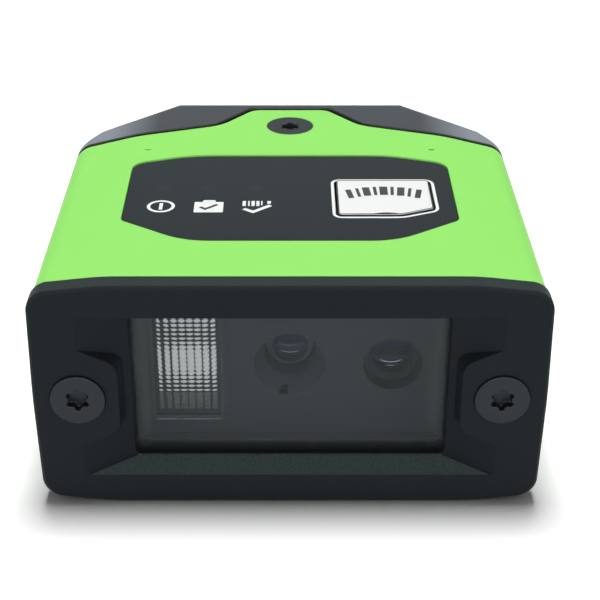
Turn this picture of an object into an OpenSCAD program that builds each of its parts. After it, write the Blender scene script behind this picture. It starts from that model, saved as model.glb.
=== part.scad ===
// Fixed barcode reader: a closed housing with a window and a bezel at the front,
// a control panel with a trigger key on top and two connectors at the rear.
// Millimetres, +Z up, the front faces -Y and the underside lies at z = 0.

/* [Body] */
// Width of the housing
body_w = 57; // [55:0.5:64]
// Height of the housing and of the bezel
body_h = 28.8; // [26:0.2:33]
// Depth from the front of the bezel to the rear wall
body_l = 56; // [54:0.2:66]
// Wall thickness of the housing and of the cover's sides
wall = 1.8; // [1.6:0.1:2.1]
// Distance from the side to the flat middle of the top and of the underside
shoulder_side = 8; // [6:0.5:9]
// Fall of the top, and rise of the underside, at the long edges
shoulder_drop = 0.9; // [0.6:0.1:1.3]
// Radius that blends the flat middle into the falling sides
shoulder_r = 30; // [15:1:40]
// Radius of the long edges
edge_r = 2.4; // [1.8:0.1:3]
// Width of the rear wall between the chamfered corners
rear_w = 32; // [31:0.5:36]
// Distance from the side to the bend of each chamfered rear corner
bend_side = 2.5; // [2:0.1:3]
// Distance from the rear wall to the bends
bend_l = 10; // [9.5:0.1:10.5]
// Depth of the chamfered rear corners
chamfer_l = 15; // [14.5:0.1:15.5]
// Radius of the upright rear corners
rear_corner_r = 4; // [3:0.5:5]
// Radius of the rear wall's top and bottom edges
rear_edge_r = 3.2; // [2.6:0.1:3.6]
// Radius of the chamfers' top and bottom edges
chamfer_edge_r = 2.9; // [2.2:0.1:3.2]
// Radius of the top and bottom edges between the bends and the sides
bend_edge_r = 2.6; // [2.2:0.1:3]

/* [Top cover] */
// Thickness of the cover's top
cover_t = 2.2; // [2:0.1:2.5]
// Height of the lower edge of the cover's sides
skirt_z = 10; // [9:0.5:12]
// Gap along the cover's rear edge
seam = 0.6; // [0.3:0.05:0.7]
// Thickness of the seal under the cover's sides
cover_seal_t = 0.4; // [0.3:0.1:0.8]
// Distance from the rear wall to where the cover's sides end
cover_side_back = 16.7; // [16.3:0.1:18]
// Distance from the rear wall to the root of the cover's tongue
tongue_root_back = 10.1; // [9.4:0.1:11]
// Distance from the rear wall to the end of the tongue
tongue_back = 4.5; // [4:0.1:5.2]
// Width of the tongue at its root
tongue_root_w = 18.8; // [17:0.2:21]
// Width of the tongue at its end
tongue_w = 10.2; // [9.8:0.1:12]
// Radius of the corners at the tongue's end
tongue_r = 2.2; // [1.6:0.1:3]
// Radius of the corners at the tongue's root
tongue_root_r = 6; // [3:0.5:8]
// Distance from the rear wall to the cover screw
cover_screw_back = 10.2; // [10:0.1:11]
// Depth of the shelf under the cover's rear edge
shelf_t = 1.8; // [1.5:0.1:2.2]
// Width of the small pressure vents in the cover
vent_w = 0.7; // [0.5:0.1:1]
// Distance from the side to each pressure vent
vent_side = 9.95; // [9:0.05:10.5]
// Distance from the rear wall to the pressure vents
vent_back = 18.5; // [18:0.05:20]

/* [Bezel] */
// How far the bezel stands out beyond each side of the housing
bezel_out = 0.55; // [0.3:0.05:0.7]
// Thickness of the bezel's rim
bezel_t = 2.45; // [2.2:0.05:3]
// How far the bezel's sides bow outwards
bezel_bow = 0.25; // [0.1:0.05:0.5]
// Radius of the bezel's corners
bezel_r = 2.6; // [1.8:0.1:3]
// Broken edge round the bezel's front
bezel_edge = 0.35; // [0.2:0.05:0.5]
// Width of the bezel's rim beside the pocket
rim_side = 5.35; // [5.1:0.05:5.6]
// Height of the bezel's rim above and below the pocket
rim_height = 3.9; // [3.6:0.1:4.1]
// Depth of the sloping pocket
pocket_d = 2.7; // [2.3:0.1:3.2]
// Distance from the housing's side to the clear opening
opening_side = 10.4; // [10.1:0.1:10.6]
// Distance from the top and the underside to the clear opening
opening_rim = 4.9; // [4.6:0.1:5.2]
// Corner radius of the clear opening
opening_r = 0.9; // [0.5:0.1:1.5]
// Wall of the spigot behind the bezel
spigot_wall = 1.5; // [1.3:0.1:1.7]
// Distance from the bezel's front to the end of its spigot
spigot_l = 3.9; // [3.6:0.1:4.4]
// Distance from the side to each front screw
front_screw_side = 4.6; // [4.3:0.05:5]
// Distance from a front screw to the inner edge of its boss
boss_reach = 4.6; // [4.2:0.1:5]
// Height of a boss at its inner edge
boss_tip_h = 8.8; // [7.5:0.1:10]
// Height of a boss at its root
boss_root_h = 13.4; // [12:0.1:15]
// Radius of a boss's inner corners
boss_r = 2; // [1:0.1:2.5]
// How far a boss widens towards its base
boss_draft = 0.4; // [0.2:0.1:0.6]

/* [Window] */
// Thickness of the window
window_t = 1.5; // [1.2:0.1:2]
// How far the window reaches behind the bezel all round
window_lap = 1.2; // [0.9:0.1:1.3]
// Thickness of the gasket in front of the window
window_gasket_t = 0.5; // [0.4:0.1:0.8]
// Thickness of the seal behind the bezel's rim
front_seal_t = 0.8; // [0.6:0.1:1.2]

/* [Screws] */
// Thread diameter of the case screws
screw_d = 3; // [2.5:0.1:3.2]
// Head diameter of the case screws
head_d = 6.2; // [5.6:0.1:6.6]
// Head thickness of the case screws
head_t = 1.3; // [1.1:0.1:1.4]
// How far the front heads stand out of the bezel
head_proud = 0.3; // [0.1:0.1:0.6]
// Length of the front screws under the head
front_screw_l = 9; // [7:0.5:11]
// Length of the cover screw under the head
cover_screw_l = 5.5; // [4.5:0.5:6]
// Size of the six-lobe recess across its lobes
recess_d = 2.8; // [2.4:0.1:3.2]
// Depth of the six-lobe recess
recess_t = 1; // [0.7:0.1:1.1]

/* [Control panel] */
// Distance from the side to the panel
panel_side = 8.4; // [8:0.1:9]
// Depth of the panel, front to rear
panel_l = 24.8; // [24.4:0.2:25.4]
// Distance from the bezel's front to the panel
panel_front = 11.05; // [10.6:0.05:11.6]
// Thickness of the panel
panel_t = 0.7; // [0.5:0.1:0.9]
// How far the panel lies below the cover's top
panel_sink = 0.2; // [0.2:0.1:0.5]
// Width of the slanted front corners
panel_front_side = 7.9; // [6:0.1:9]
// Depth of the slanted front corners
panel_front_cut = 5.4; // [4.5:0.1:6]
// Width of the slanted rear corners
panel_rear_side = 7.4; // [6:0.1:8.6]
// Depth of the slanted rear corners
panel_rear_cut = 2.6; // [2:0.1:3.2]
// Distance between the status lights
status_pitch = 5.82; // [5.5:0.02:6.2]
// Distance from the panel's left edge to the first status light
status_side = 4.4; // [3.9:0.1:4.9]
// Distance from the panel's front edge to the status lights
status_back = 14.7; // [14.2:0.1:15.2]
// Diameter of the light pipes
pipe_d = 2.2; // [1.8:0.1:2.4]

/* [Trigger key] */
// Width of the key
key_w = 11.5; // [11:0.1:12]
// Depth of the key, front to rear
key_l = 9.75; // [9.2:0.05:10.2]
// Distance from the panel's right edge to the key
key_side = 2.85; // [2.4:0.05:3.1]
// Distance from the panel's front edge to the key
key_back = 7; // [6.7:0.05:7.4]
// Depth of the key's slanted front corner
key_cut = 1.7; // [1.2:0.05:2.2]
// How far the key stands out of the panel
key_proud = 0.2; // [0.1:0.05:0.3]
// Travel of the key
key_travel = 0.4; // [0.3:0.05:0.5]
// Gap round the key
key_gap = 0.2; // [0.15:0.05:0.3]
// Lip under the cover that keeps the key in
key_lip = 0.8; // [0.6:0.1:1]

/* [Optics] */
// Distance from the window to the front plate of the optics
tray_d = 0.9; // [0.7:0.1:1.4]
// Thickness of the front plate
plate_t = 1.6; // [1.4:0.1:2]
// Depth of the optical chassis
chassis_l = 11; // [10.5:0.1:12]
// Distance from the opening's side to the middle of the illumination lens and of the aimer
optics_side = 6.1; // [5.9:0.05:6.3]
// Height of the optical axis above the middle of the bezel
optics_rise = 0.4; // [0:0.1:0.6]
// Width of the illumination lens
array_w = 7.9; // [7.4:0.1:8.2]
// Distance from the opening's top and bottom to the illumination lens
array_rim = 2.6; // [2.4:0.05:2.8]
// Width of the flat border at the sides of the small lenses
array_side = 0.45; // [0.3:0.05:0.6]
// Height of the flat border above and below the small lenses
array_end = 0.75; // [0.5:0.05:1]
// Columns of small lenses
array_columns = 8; // [6:1:9]
// Rows of small lenses
array_rows = 21; // [14:1:22]
// Height of each small lens
pillow_t = 0.3; // [0.2:0.05:0.35]
// Radius of the lens columns
column_r = 0.8; // [0.7:0.05:1]
// Radius of the lens rows
row_r = 0.7; // [0.6:0.05:0.9]
// Diameter of the camera opening
camera_d = 8.3; // [8:0.1:8.6]
// Diameter of the lens barrel
barrel_d = 5.6; // [5.2:0.1:5.8]
// Distance from the front plate to the lens barrel
barrel_back = 4.1; // [3.6:0.1:4.6]
// Length of the lens barrel
barrel_l = 8.6; // [8.2:0.1:9]
// Diameter of the front lens
lens_d = 4.2; // [3.8:0.1:4.4]
// Diameter of the aimer opening
aimer_d = 6.9; // [6.7:0.1:7.2]
// Diameter of the aimer body
aimer_body_d = 6.4; // [6.1:0.1:6.5]

/* [Boards] */
// Thickness of the circuit boards
board_t = 1.2; // [1:0.1:1.4]
// Distance from the side to the main board
main_board_side = 8.5; // [8:0.1:10.5]
// Distance from the main board's front edge to the middle of the processor
processor_back = 13; // [12:0.5:14]
// Clear height under the main board
main_board_z = 3.8; // [3.6:0.1:4.2]
// Clear height between the cover and the panel board
panel_board_drop = 4.8; // [4.6:0.1:5.2]
// Thickness of the heat pad under the processor
pad_t = 1; // [0.6:0.1:1.4]
// Side length of the processor
processor_w = 12; // [10:0.5:13]

/* [Connectors] */
// Thread diameter of the round connector
thread_d = 12; // [11:0.5:12]
// Length of the round connector's thread outside the flange
thread_l = 8; // [6:0.5:10]
// Thickness of the round connector's flange
flange_t = 2.5; // [2:0.1:3.5]
// Width of the flange and of the nut across flats
flange_af = 14; // [13.5:0.1:14.4]
// Place of the round connector left of the middle
round_x = 5.4; // [5.2:0.1:5.8]
// Place of the data port right of the middle
port_x = 8.4; // [8.2:0.1:9]
// Long side of the data port's shell
port_l = 8.94; // [8.5:0.02:9.1]
// Short side of the data port's shell
port_w = 3.26; // [3:0.02:3.4]

/* [Mounting] */
// Distance from the side to the mounting holes
mount_side = 10.5; // [10:0.25:11]
// Distance between the mounting holes, front to rear
mount_y = 20; // [19:0.5:21]
// Distance from the bezel's front to the middle of the mounting holes
mount_front = 34; // [33.5:0.1:34.5]
// Core diameter of the mounting threads
mount_core_d = 2.5; // [2.4:0.05:2.6]
// Length of the threaded inserts
insert_l = 4; // [3.4:0.1:4.1]
// Outer diameter of the threaded inserts
insert_d = 4.2; // [4:0.1:4.6]

/* [Hidden] */
$fn = 64;

// Clearances: pieces that slide together, pieces that sit beside each other, and cutting overrun
slide_gap = 0.05;
fit_gap = 0.15;
over = 1;

// Widest step along a rounded corner, in degrees
arc_step = 7.5;

// Heights and depths worked out from the driving sizes
axis_z = body_h / 2;
optics_z = axis_z + optics_rise;
pocket_w = body_w + 2 * bezel_out - 2 * rim_side;
pocket_h = body_h - 2 * rim_height;
opening_w = body_w - 2 * opening_side;
opening_h = body_h - 2 * opening_rim;
array_h = opening_h - 2 * array_rim;
body_half = body_w / 2;
shoulder_w = body_w - 2 * shoulder_side;
bend_w = body_w - 2 * bend_side;
vent_span = body_w - 2 * vent_side;
front_screw_span = body_w - 2 * front_screw_side;
panel_w = body_w - 2 * panel_side;
panel_front_w = panel_w - 2 * panel_front_side;
panel_rear_w = panel_w - 2 * panel_rear_side;
status_x = panel_w / 2 - status_side;
key_x = panel_w / 2 - key_side - key_w;
side_x = opening_w / 2 - optics_side;
main_board_w = body_w - 2 * main_board_side;
mount_x = body_w - 2 * mount_side;
rear_half = rear_w / 2;
deck_z = body_h - cover_t;
shelf_z = deck_z - shelf_t;
window_y = spigot_l + window_gasket_t;
chassis_y = window_y + window_t;
plate_y = chassis_y + tray_d;
plate_back_y = plate_y + plate_t;
chassis_end_y = chassis_y + chassis_l;
post_y = bezel_t + front_seal_t;
post_end_y = post_y + front_screw_l + over;
front_screw_x = front_screw_span / 2;
head_seat_y = head_t - head_proud;
cover_screw_y = body_l - cover_screw_back;
cover_seat_z = body_h - head_t - slide_gap;
screw_r = screw_d / 2;
inner_rear_y = body_l - wall;

// Connector places
io_seal_t = 0.6;
flange_y = body_l + io_seal_t;
thread_y = flange_y + flange_t;
io_end_y = thread_y + thread_l;
io_nut_t = 2.5;
io_rear_y = inner_rear_y - io_nut_t - 1;
io_board_y = io_rear_y - 1;
port_y = body_l - 0.2;

// The origin is the middle of the footprint, connectors and screw heads included
mid_y = (io_end_y - head_proud) / 2;

// Boards and their supports
floor_z = wall;
main_board_bottom = floor_z + main_board_z;
main_board_top = main_board_bottom + board_t;
main_board_y = chassis_end_y + board_t + 5.9;
main_board_end_y = io_board_y + 2;
panel_board_top = deck_z - panel_board_drop;
panel_board_bottom = panel_board_top - board_t;
panel_board_y = chassis_end_y + board_t + 0.5;
panel_board_end_y = panel_front + panel_l - 2.4;
panel_board_w = panel_w - 1;
stack_half_h = opening_h / 2 - 3.5;
holder_half_w = 7;
holder_l = 4.5;
sensor_w = 6.4;
sensor_h = 5.2;
sensor_t = 0.9;
ribbon_w = 6;
ribbon_t = 0.3;
sensor_board_y = chassis_end_y + holder_l;

// Panel levels
panel_top = body_h - panel_sink;
panel_floor = panel_top - panel_t;
key_top = panel_top + key_proud;
key_lip_t = 0.6;
key_lip_top = deck_z - 0.2;
key_lip_bottom = key_lip_top - key_lip_t;
status_y = panel_front + status_back;
key_y = panel_front + key_back;
switch_at = [key_x + key_w / 2, key_y + key_l / 2];
switch_w = 6;
switch_h = 2.4;
plunger_d = 3.4;
led_t = 0.8;

// Outline tools: unit vector, wrapped index, outward side of an edge, parallel inset
function unit(v) = v / norm(v);
function at(list, i) = list[(i + len(list)) % len(list)];
function outward(a, b) = let (d = unit(b - a)) [d.y, -d.x];
function inset(pts, d) = [
    for (i = [0:len(pts) - 1])
        let (
            n1 = outward(at(pts, i - 1), pts[i]),
            n2 = outward(pts[i], at(pts, i + 1))
        )
        pts[i] - d * (n1 + n2) / (1 + n1 * n2)
];
function shrink(radii, d) = [for (r = radii) r > 0 ? max(r - d, 0.2) : 0];
function turns_left(a, v, b) = cross(v - a, b - v) > 0;

// Points along the arc that rounds a corner, from the edge before it to the edge after it
function corner_points(a, v, b, r) =
    let (
        u1 = unit(a - v),
        u2 = unit(b - v),
        half = acos(u1 * u2) / 2,
        centre = v + unit(u1 + u2) * r / sin(half),
        start = v + u1 * r / tan(half) - centre,
        sweep = (180 - 2 * half) * (turns_left(a, v, b) ? 1 : -1),
        steps = 2 * max(2, ceil(abs(sweep) / arc_step / 2)) + 1,
        first = atan2(start.y, start.x)
    )
    [for (i = [0:steps]) centre + r * [cos(first + sweep * i / steps), sin(first + sweep * i / steps)]];

// Outline with rounded corners, inward and outward ones alike
module rounded(pts, radii) {
    polygon([
        for (i = [0:len(pts) - 1])
            each (radii[i] > 0 ? corner_points(at(pts, i - 1), pts[i], at(pts, i + 1), radii[i]) : [pts[i]])
    ]);
}

module round_box(w, h, r) {
    square([w - 2 * r, h], center = true);
    square([w, h - 2 * r], center = true);
    for (x = [-1, 1], y = [-1, 1]) {
        translate([x * (w / 2 - r), y * (h / 2 - r)]) circle(r);
    }
}

// Placing: the whole part about its origin, and extrusions along each axis
module from_front() {
    translate([0, -mid_y, 0]) children();
}

module along_y(y0, y1) {
    translate([0, y1, 0]) rotate([90, 0, 0]) linear_extrude(y1 - y0) children();
}

module along_z(z0, z1) {
    translate([0, 0, z0]) linear_extrude(z1 - z0) children();
}

module rod_y(x, z, r, y0, y1) {
    along_y(y0, y1) translate([x, z]) circle(r);
}

module rod_z(x, y, r, z0, z1) {
    along_z(z0, z1) translate([x, y]) circle(r);
}

module block(x0, x1, y0, y1, z0, z1) {
    translate([x0, y0, z0]) cube([x1 - x0, y1 - y0, z1 - z0]);
}

// Body outlines: the cross-section, the plan and the rounded rear edges
section_points = [
    [-body_half, shoulder_drop],
    [-shoulder_w / 2, 0],
    [shoulder_w / 2, 0],
    [body_half, shoulder_drop],
    [body_half, body_h - shoulder_drop],
    [shoulder_w / 2, body_h],
    [-shoulder_w / 2, body_h],
    [-body_half, body_h - shoulder_drop]
];
section_radii = [edge_r, shoulder_r, shoulder_r, edge_r, edge_r, shoulder_r, shoulder_r, edge_r];
plan_points = [
    [-body_half, -2 * wall],
    [body_half, -2 * wall],
    [body_half, body_l - chamfer_l],
    [bend_w / 2, body_l - bend_l],
    [rear_half, body_l],
    [-rear_half, body_l],
    [-bend_w / 2, body_l - bend_l],
    [-body_half, body_l - chamfer_l]
];
plan_radii = [0, 0, for (i = [0:5]) rear_corner_r];
bend_out = outward(plan_points[2], plan_points[3]);
bend_turn = atan2(bend_out.x, bend_out.y);
bend_reach = bend_out * plan_points[3];
chamfer_out = outward(plan_points[3], plan_points[4]);
chamfer_turn = atan2(chamfer_out.x, chamfer_out.y);
chamfer_reach = chamfer_out * plan_points[4];

// Everything within a rear face that looks along a turned +Y, with rounded top and bottom edges
module rear_limit(turn, reach, edge, d) {
    r = max(edge - d, 0.2);
    points = [[-body_l, d], [reach - d, d], [reach - d, body_h - d], [-body_l, body_h - d]];
    rotate([0, 0, -turn]) rotate([90, 0, 90]) linear_extrude(4 * body_w, center = true)
        rounded(points, [0, r, r, 0]);
}

// The housing's outer form, or its inner form when inset by d
module body_form(d, front) {
    intersection() {
        along_y(front, body_l + over) rounded(inset(section_points, d), shrink(section_radii, d));
        along_z(-over, body_h + over) rounded(inset(plan_points, d), shrink(plan_radii, d));
        rear_limit(0, body_l, rear_edge_r, d);
        rear_limit(chamfer_turn, chamfer_reach, chamfer_edge_r, d);
        rear_limit(-chamfer_turn, chamfer_reach, chamfer_edge_r, d);
        rear_limit(bend_turn, bend_reach, bend_edge_r, d);
        rear_limit(-bend_turn, bend_reach, bend_edge_r, d);
    }
}

// Plan of the cover: the rear edge slants back from both sides to the tongue
cover_side_y = body_l - cover_side_back;
tongue_root_y = body_l - tongue_root_back;
tongue_y = body_l - tongue_back;
cover_slope = (tongue_root_y - cover_side_y) / (body_half - tongue_root_w / 2);
cover_wide = body_half + 4;
cover_wide_y = cover_side_y - 4 * cover_slope;
cover_main_points = [
    [-cover_wide, -body_l],
    [cover_wide, -body_l],
    [cover_wide, cover_wide_y],
    [tongue_root_w / 2, tongue_root_y],
    [-tongue_root_w / 2, tongue_root_y],
    [-cover_wide, cover_wide_y]
];
cover_points = [
    [-cover_wide, -body_l],
    [cover_wide, -body_l],
    [cover_wide, cover_wide_y],
    [tongue_root_w / 2, tongue_root_y],
    [tongue_w / 2, tongue_y],
    [-tongue_w / 2, tongue_y],
    [-tongue_root_w / 2, tongue_root_y],
    [-cover_wide, cover_wide_y]
];
cover_radii = [0, 0, 0, tongue_root_r, tongue_r, tongue_r, tongue_root_r, 0];

module cover_plan(grow) {
    rounded(inset(cover_points, -grow), cover_radii);
}

module cover_main_plan(grow) {
    polygon(inset(cover_main_points, -grow));
}

// Case screw with its head's top at the origin, driven along -Z
module case_screw(shank_l) {
    difference() {
        union() {
            translate([0, 0, -head_t]) cylinder(d = head_d, h = head_t);
            translate([0, 0, -head_t - shank_l]) cylinder(r = screw_r, h = shank_l);
        }
        translate([0, 0, -recess_t]) linear_extrude(recess_t + over) six_lobes();
    }
}

module six_lobes() {
    lobe_r = recess_d * 0.12;
    circle(d = recess_d * 0.74);
    for (i = [0:5]) {
        rotate(60 * i + 30) translate([recess_d / 2 - lobe_r, 0]) circle(lobe_r);
    }
}

// Front bezel: a rim with a sloping pocket, two screw bosses and a spigot behind
bezel_half = body_half + bezel_out;
bezel_points = [
    [-bezel_half + bezel_bow, shoulder_drop],
    [-shoulder_w / 2, 0],
    [shoulder_w / 2, 0],
    [bezel_half - bezel_bow, shoulder_drop],
    [bezel_half, axis_z],
    [bezel_half - bezel_bow, body_h - shoulder_drop],
    [shoulder_w / 2, body_h],
    [-shoulder_w / 2, body_h],
    [-bezel_half + bezel_bow, body_h - shoulder_drop],
    [-bezel_half, axis_z]
];
bow_r = 4 * shoulder_r;
bezel_radii = [
    bezel_r, shoulder_r, shoulder_r, bezel_r, bow_r,
    bezel_r, shoulder_r, shoulder_r, bezel_r, bow_r
];

module bezel_rim() {
    hull() {
        along_y(0, 0.1) rounded(inset(bezel_points, bezel_edge), bezel_radii);
        along_y(bezel_edge, bezel_edge + 0.2) rounded(bezel_points, bezel_radii);
    }
    along_y(bezel_edge + 0.2, bezel_t) rounded(bezel_points, bezel_radii);
}

module pocket_slopes() {
    slope_x = (pocket_w - opening_w) / 2 / pocket_d;
    slope_z = (pocket_h - opening_h) / 2 / pocket_d;
    front_x = pocket_w / 2 + slope_x * over;
    front_z = pocket_h / 2 + slope_z * over;
    half_x = opening_w / 2;
    half_z = opening_h / 2;
    plan = [[-front_x, -over], [front_x, -over], [half_x, pocket_d], [-half_x, pocket_d]];
    side = [
        [-over, axis_z - front_z],
        [pocket_d, axis_z - half_z],
        [pocket_d, axis_z + half_z],
        [-over, axis_z + front_z]
    ];
    intersection() {
        along_z(0, body_h) polygon(plan);
        rotate([90, 0, 90]) linear_extrude(body_w, center = true) polygon(side);
    }
}

module bezel_boss() {
    tip = front_screw_x - boss_reach;
    root = pocket_w / 2 + 0.6;
    points = [
        [tip, axis_z - boss_tip_h / 2],
        [root, axis_z - boss_root_h / 2],
        [root, axis_z + boss_root_h / 2],
        [tip, axis_z + boss_tip_h / 2]
    ];
    hull() {
        along_y(0, 0.1) rounded(points, [boss_r, 0, 0, boss_r]);
        along_y(bezel_t - 0.1, bezel_t) rounded(inset(points, -boss_draft), [boss_r, 0, 0, boss_r]);
    }
}

module opening_plan(grow) {
    translate([0, axis_z]) round_box(opening_w + 2 * grow, opening_h + 2 * grow, opening_r + grow);
}

module front_bezel() {
    color("#2a2d30") from_front() difference() {
        union() {
            difference() {
                union() {
                    bezel_rim();
                    along_y(bezel_t, spigot_l) opening_plan(spigot_wall);
                }
                pocket_slopes();
            }
            bezel_boss();
            mirror([1, 0, 0]) bezel_boss();
        }
        along_y(pocket_d - 0.01, spigot_l + over) opening_plan(0);
        for (side = [-1, 1]) {
            rod_y(side * front_screw_x, axis_z, screw_r + fit_gap, -over, spigot_l + over);
            rod_y(side * front_screw_x, axis_z, head_d / 2 + slide_gap, -over, head_seat_y);
        }
    }
}

module front_screws() {
    color("#4a4e52") from_front() for (side = [-1, 1]) {
        translate([side * front_screw_x, -head_proud, axis_z]) rotate([90, 0, 0]) case_screw(front_screw_l);
    }
}

module front_seal() {
    color("#151617") from_front() difference() {
        intersection() {
            along_y(bezel_t, post_y)
                rounded(inset(section_points, wall + fit_gap), shrink(section_radii, wall + fit_gap));
            block(-body_w, body_w, 0, body_l, 0, deck_z - fit_gap);
        }
        along_y(bezel_t - over, post_y + over) opening_plan(spigot_wall + fit_gap);
        for (side = [-1, 1]) {
            rod_y(side * front_screw_x, axis_z, screw_r + fit_gap, bezel_t - over, post_y + over);
        }
    }
}

module window_gasket() {
    color("#0d0e0f") from_front() along_y(spigot_l, window_y) difference() {
        opening_plan(window_lap);
        opening_plan(0);
    }
}

module front_window() {
    color("#9aa4a8", 0.35) from_front() along_y(window_y, chassis_y) opening_plan(window_lap);
}

// Main housing: a tub with a full-height rear, posts for the screws and supports for the board
post_inner_x = opening_w / 2 + spigot_wall + 0.6;
post_outer_x = body_half - wall - fit_gap;
boss_wall = 1.1;
insert_hole_r = insert_d / 2 + slide_gap;
standoff_d = 4.5;
standoff_back = 6.2;
standoff_places = [
    for (side = [-1, 1]) each [
        [side * (mount_x / 2 - 6), main_board_y + 3.5],
        [side * (mount_x / 2 - 7), main_board_end_y - standoff_back]
    ]
];
board_screw_r = 1;
pedestal_z = main_board_bottom - pad_t - 1;
processor_at = [0, main_board_y + processor_back];
column_d = 7;
column_z = cover_seat_z - cover_screw_l - 1.2;

module mount_places() {
    for (x = [-1, 1], y = [-1, 1]) {
        translate([x * mount_x / 2, mount_front + y * mount_y / 2, 0]) children();
    }
}

module housing_shell() {
    difference() {
        body_form(0, bezel_t);
        along_z(skirt_z - cover_seal_t, body_h + over) cover_main_plan(seam);
        along_z(deck_z, body_h + over) cover_plan(seam);
    }
}

module housing_hollow() {
    intersection() {
        body_form(wall, 0);
        block(-body_w, body_w, 0, body_l, 0, shelf_z);
    }
}

// Ledge under the cover's rear edge, rooted in the solid top of the rear
module cover_ledge() {
    half = shoulder_w / 2;
    root = tongue_root_w / 2;
    half_y = tongue_root_y - (half - root) * cover_slope;
    front = 2.4;
    points = [
        [-half, half_y - front], [-root, tongue_root_y - front],
        [root, tongue_root_y - front], [half, half_y - front],
        [half, half_y + over], [root, tongue_root_y + over],
        [-root, tongue_root_y + over], [-half, half_y + over]
    ];
    along_z(shelf_z, deck_z) polygon(points);
}

module front_post() {
    block(post_inner_x, post_outer_x, post_y, post_end_y, floor_z - 0.2, axis_z + 3);
    block(post_inner_x, body_half - 0.5 * wall, post_y, post_end_y, shoulder_drop + 1, skirt_z - 2);
}

module port_plan(grow) {
    translate([port_x, axis_z]) round_box(port_w + 2 * grow, port_l + 2 * grow, port_w / 2 + grow - 0.1);
}

module main_housing() {
    color("#565b60") from_front() difference() {
        union() {
            difference() {
                housing_shell();
                housing_hollow();
            }
            cover_ledge();
            front_post();
            mirror([1, 0, 0]) front_post();
            mount_places() translate([0, 0, 0.6 * wall])
                cylinder(r = insert_hole_r + boss_wall, h = insert_l + 1.2 - 0.6 * wall);
            for (p = standoff_places) {
                rod_z(p.x, p.y, standoff_d / 2, floor_z - 0.2, main_board_bottom);
            }
            along_z(floor_z - 0.2, pedestal_z) translate(processor_at) square(processor_w, center = true);
            rod_z(0, cover_screw_y, column_d / 2, column_z, shelf_z + 0.2);
            block(-1.2, 1.2, cover_screw_y, inner_rear_y + 0.2, column_z, shelf_z + 0.2);
        }
        for (side = [-1, 1]) {
            rod_y(side * front_screw_x, axis_z, screw_r + slide_gap, post_y - over, post_end_y - 0.5);
        }
        mount_places() translate([0, 0, -over]) cylinder(r = insert_hole_r, h = insert_l + over + 0.2);
        for (p = standoff_places) {
            rod_z(p.x, p.y, board_screw_r + slide_gap, floor_z, main_board_bottom + over);
        }
        rod_z(0, cover_screw_y, screw_r + slide_gap, column_z + 0.7, deck_z + over);
        rod_y(-round_x, axis_z, thread_d / 2 + slide_gap, inner_rear_y - over, body_l + over);
        along_y(inner_rear_y - over, body_l + over) port_plan(fit_gap);
        along_y(body_l - 0.5, body_l + over) port_plan(1.4);
    }
}

module mount_inserts() {
    color("#b8964f") from_front() mount_places() difference() {
        translate([0, 0, 0.2]) cylinder(d = insert_d, h = insert_l);
        cylinder(d = mount_core_d, h = insert_l + over);
    }
}

// Top cover: the green top and sides, with the panel's recess and the tongue for its screw
panel_end_y = panel_front + panel_l;
panel_points = [
    [-panel_front_w / 2, panel_front],
    [panel_front_w / 2, panel_front],
    [panel_w / 2 - 0.1, panel_front + panel_front_cut],
    [panel_w / 2, panel_end_y - panel_rear_cut],
    [panel_rear_w / 2, panel_end_y],
    [-panel_rear_w / 2, panel_end_y],
    [-panel_w / 2, panel_end_y - panel_rear_cut],
    [-panel_w / 2 + 0.1, panel_front + panel_front_cut]
];
panel_radii = [9, 9, 1.4, 2.6, 16, 16, 2.6, 1.4];
key_points = [
    [key_x, key_y],
    [key_x + 0.66 * key_w, key_y],
    [key_x + key_w, key_y + key_cut],
    [key_x + key_w, key_y + key_l],
    [key_x, key_y + key_l]
];
key_radii = [0.6, 3, 0.6, 0.6, 0.6];
panel_boss_places = [
    [-panel_board_w / 2 + 2, panel_board_y + 3],
    [-panel_board_w / 2 + 2, panel_board_end_y - 2.4],
    [key_x - 4, panel_board_end_y - 2.4],
    [panel_board_w / 2 - 2, panel_board_end_y - 2.4]
];
panel_boss_d = 3.6;
panel_screw_r = 0.8;
panel_screw_l = 4.2;

module status_places() {
    for (i = [0:2]) {
        translate([-status_x + i * status_pitch, status_y, 0]) children();
    }
}

module top_cover() {
    color("#98e873") from_front() difference() {
        union() {
            difference() {
                intersection() {
                    body_form(0, bezel_t);
                    along_z(skirt_z, body_h + over) cover_plan(0);
                }
                intersection() {
                    body_form(wall, 0);
                    block(-body_w, body_w, 0, body_l, 0, deck_z);
                }
            }
            for (p = panel_boss_places) {
                rod_z(p.x, p.y, panel_boss_d / 2, panel_board_top, deck_z + 0.2);
            }
        }
        along_z(panel_floor, body_h + over) rounded(panel_points, panel_radii);
        along_z(deck_z - over, body_h) rounded(inset(key_points, -key_gap), key_radii);
        status_places() translate([0, 0, deck_z - over])
            cylinder(d = pipe_d + 2 * slide_gap, h = cover_t + over);
        for (p = panel_boss_places) {
            rod_z(
                p.x, p.y, panel_screw_r + slide_gap,
                panel_board_top - over, panel_board_top + panel_screw_l
            );
        }
        rod_z(0, cover_screw_y, head_d / 2 + slide_gap, cover_seat_z, body_h + over);
        rod_z(0, cover_screw_y, screw_r + fit_gap, deck_z - over, body_h + over);
        for (side = [-1, 1]) {
            block(
                side * vent_span / 2 - vent_w / 2, side * vent_span / 2 + vent_w / 2,
                body_l - vent_back - 0.15, body_l - vent_back + 0.15, deck_z - over, body_h + over
            );
        }
    }
}

module cover_seal() {
    color("#151617") from_front() difference() {
        intersection() {
            body_form(0.3, bezel_t);
            along_z(skirt_z - cover_seal_t, skirt_z) cover_main_plan(0);
        }
        body_form(wall - 0.3, 0);
    }
}

module cover_screw() {
    color("#4a4e52") from_front()
        translate([0, cover_screw_y, cover_seat_z + head_t]) case_screw(cover_screw_l);
}

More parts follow.
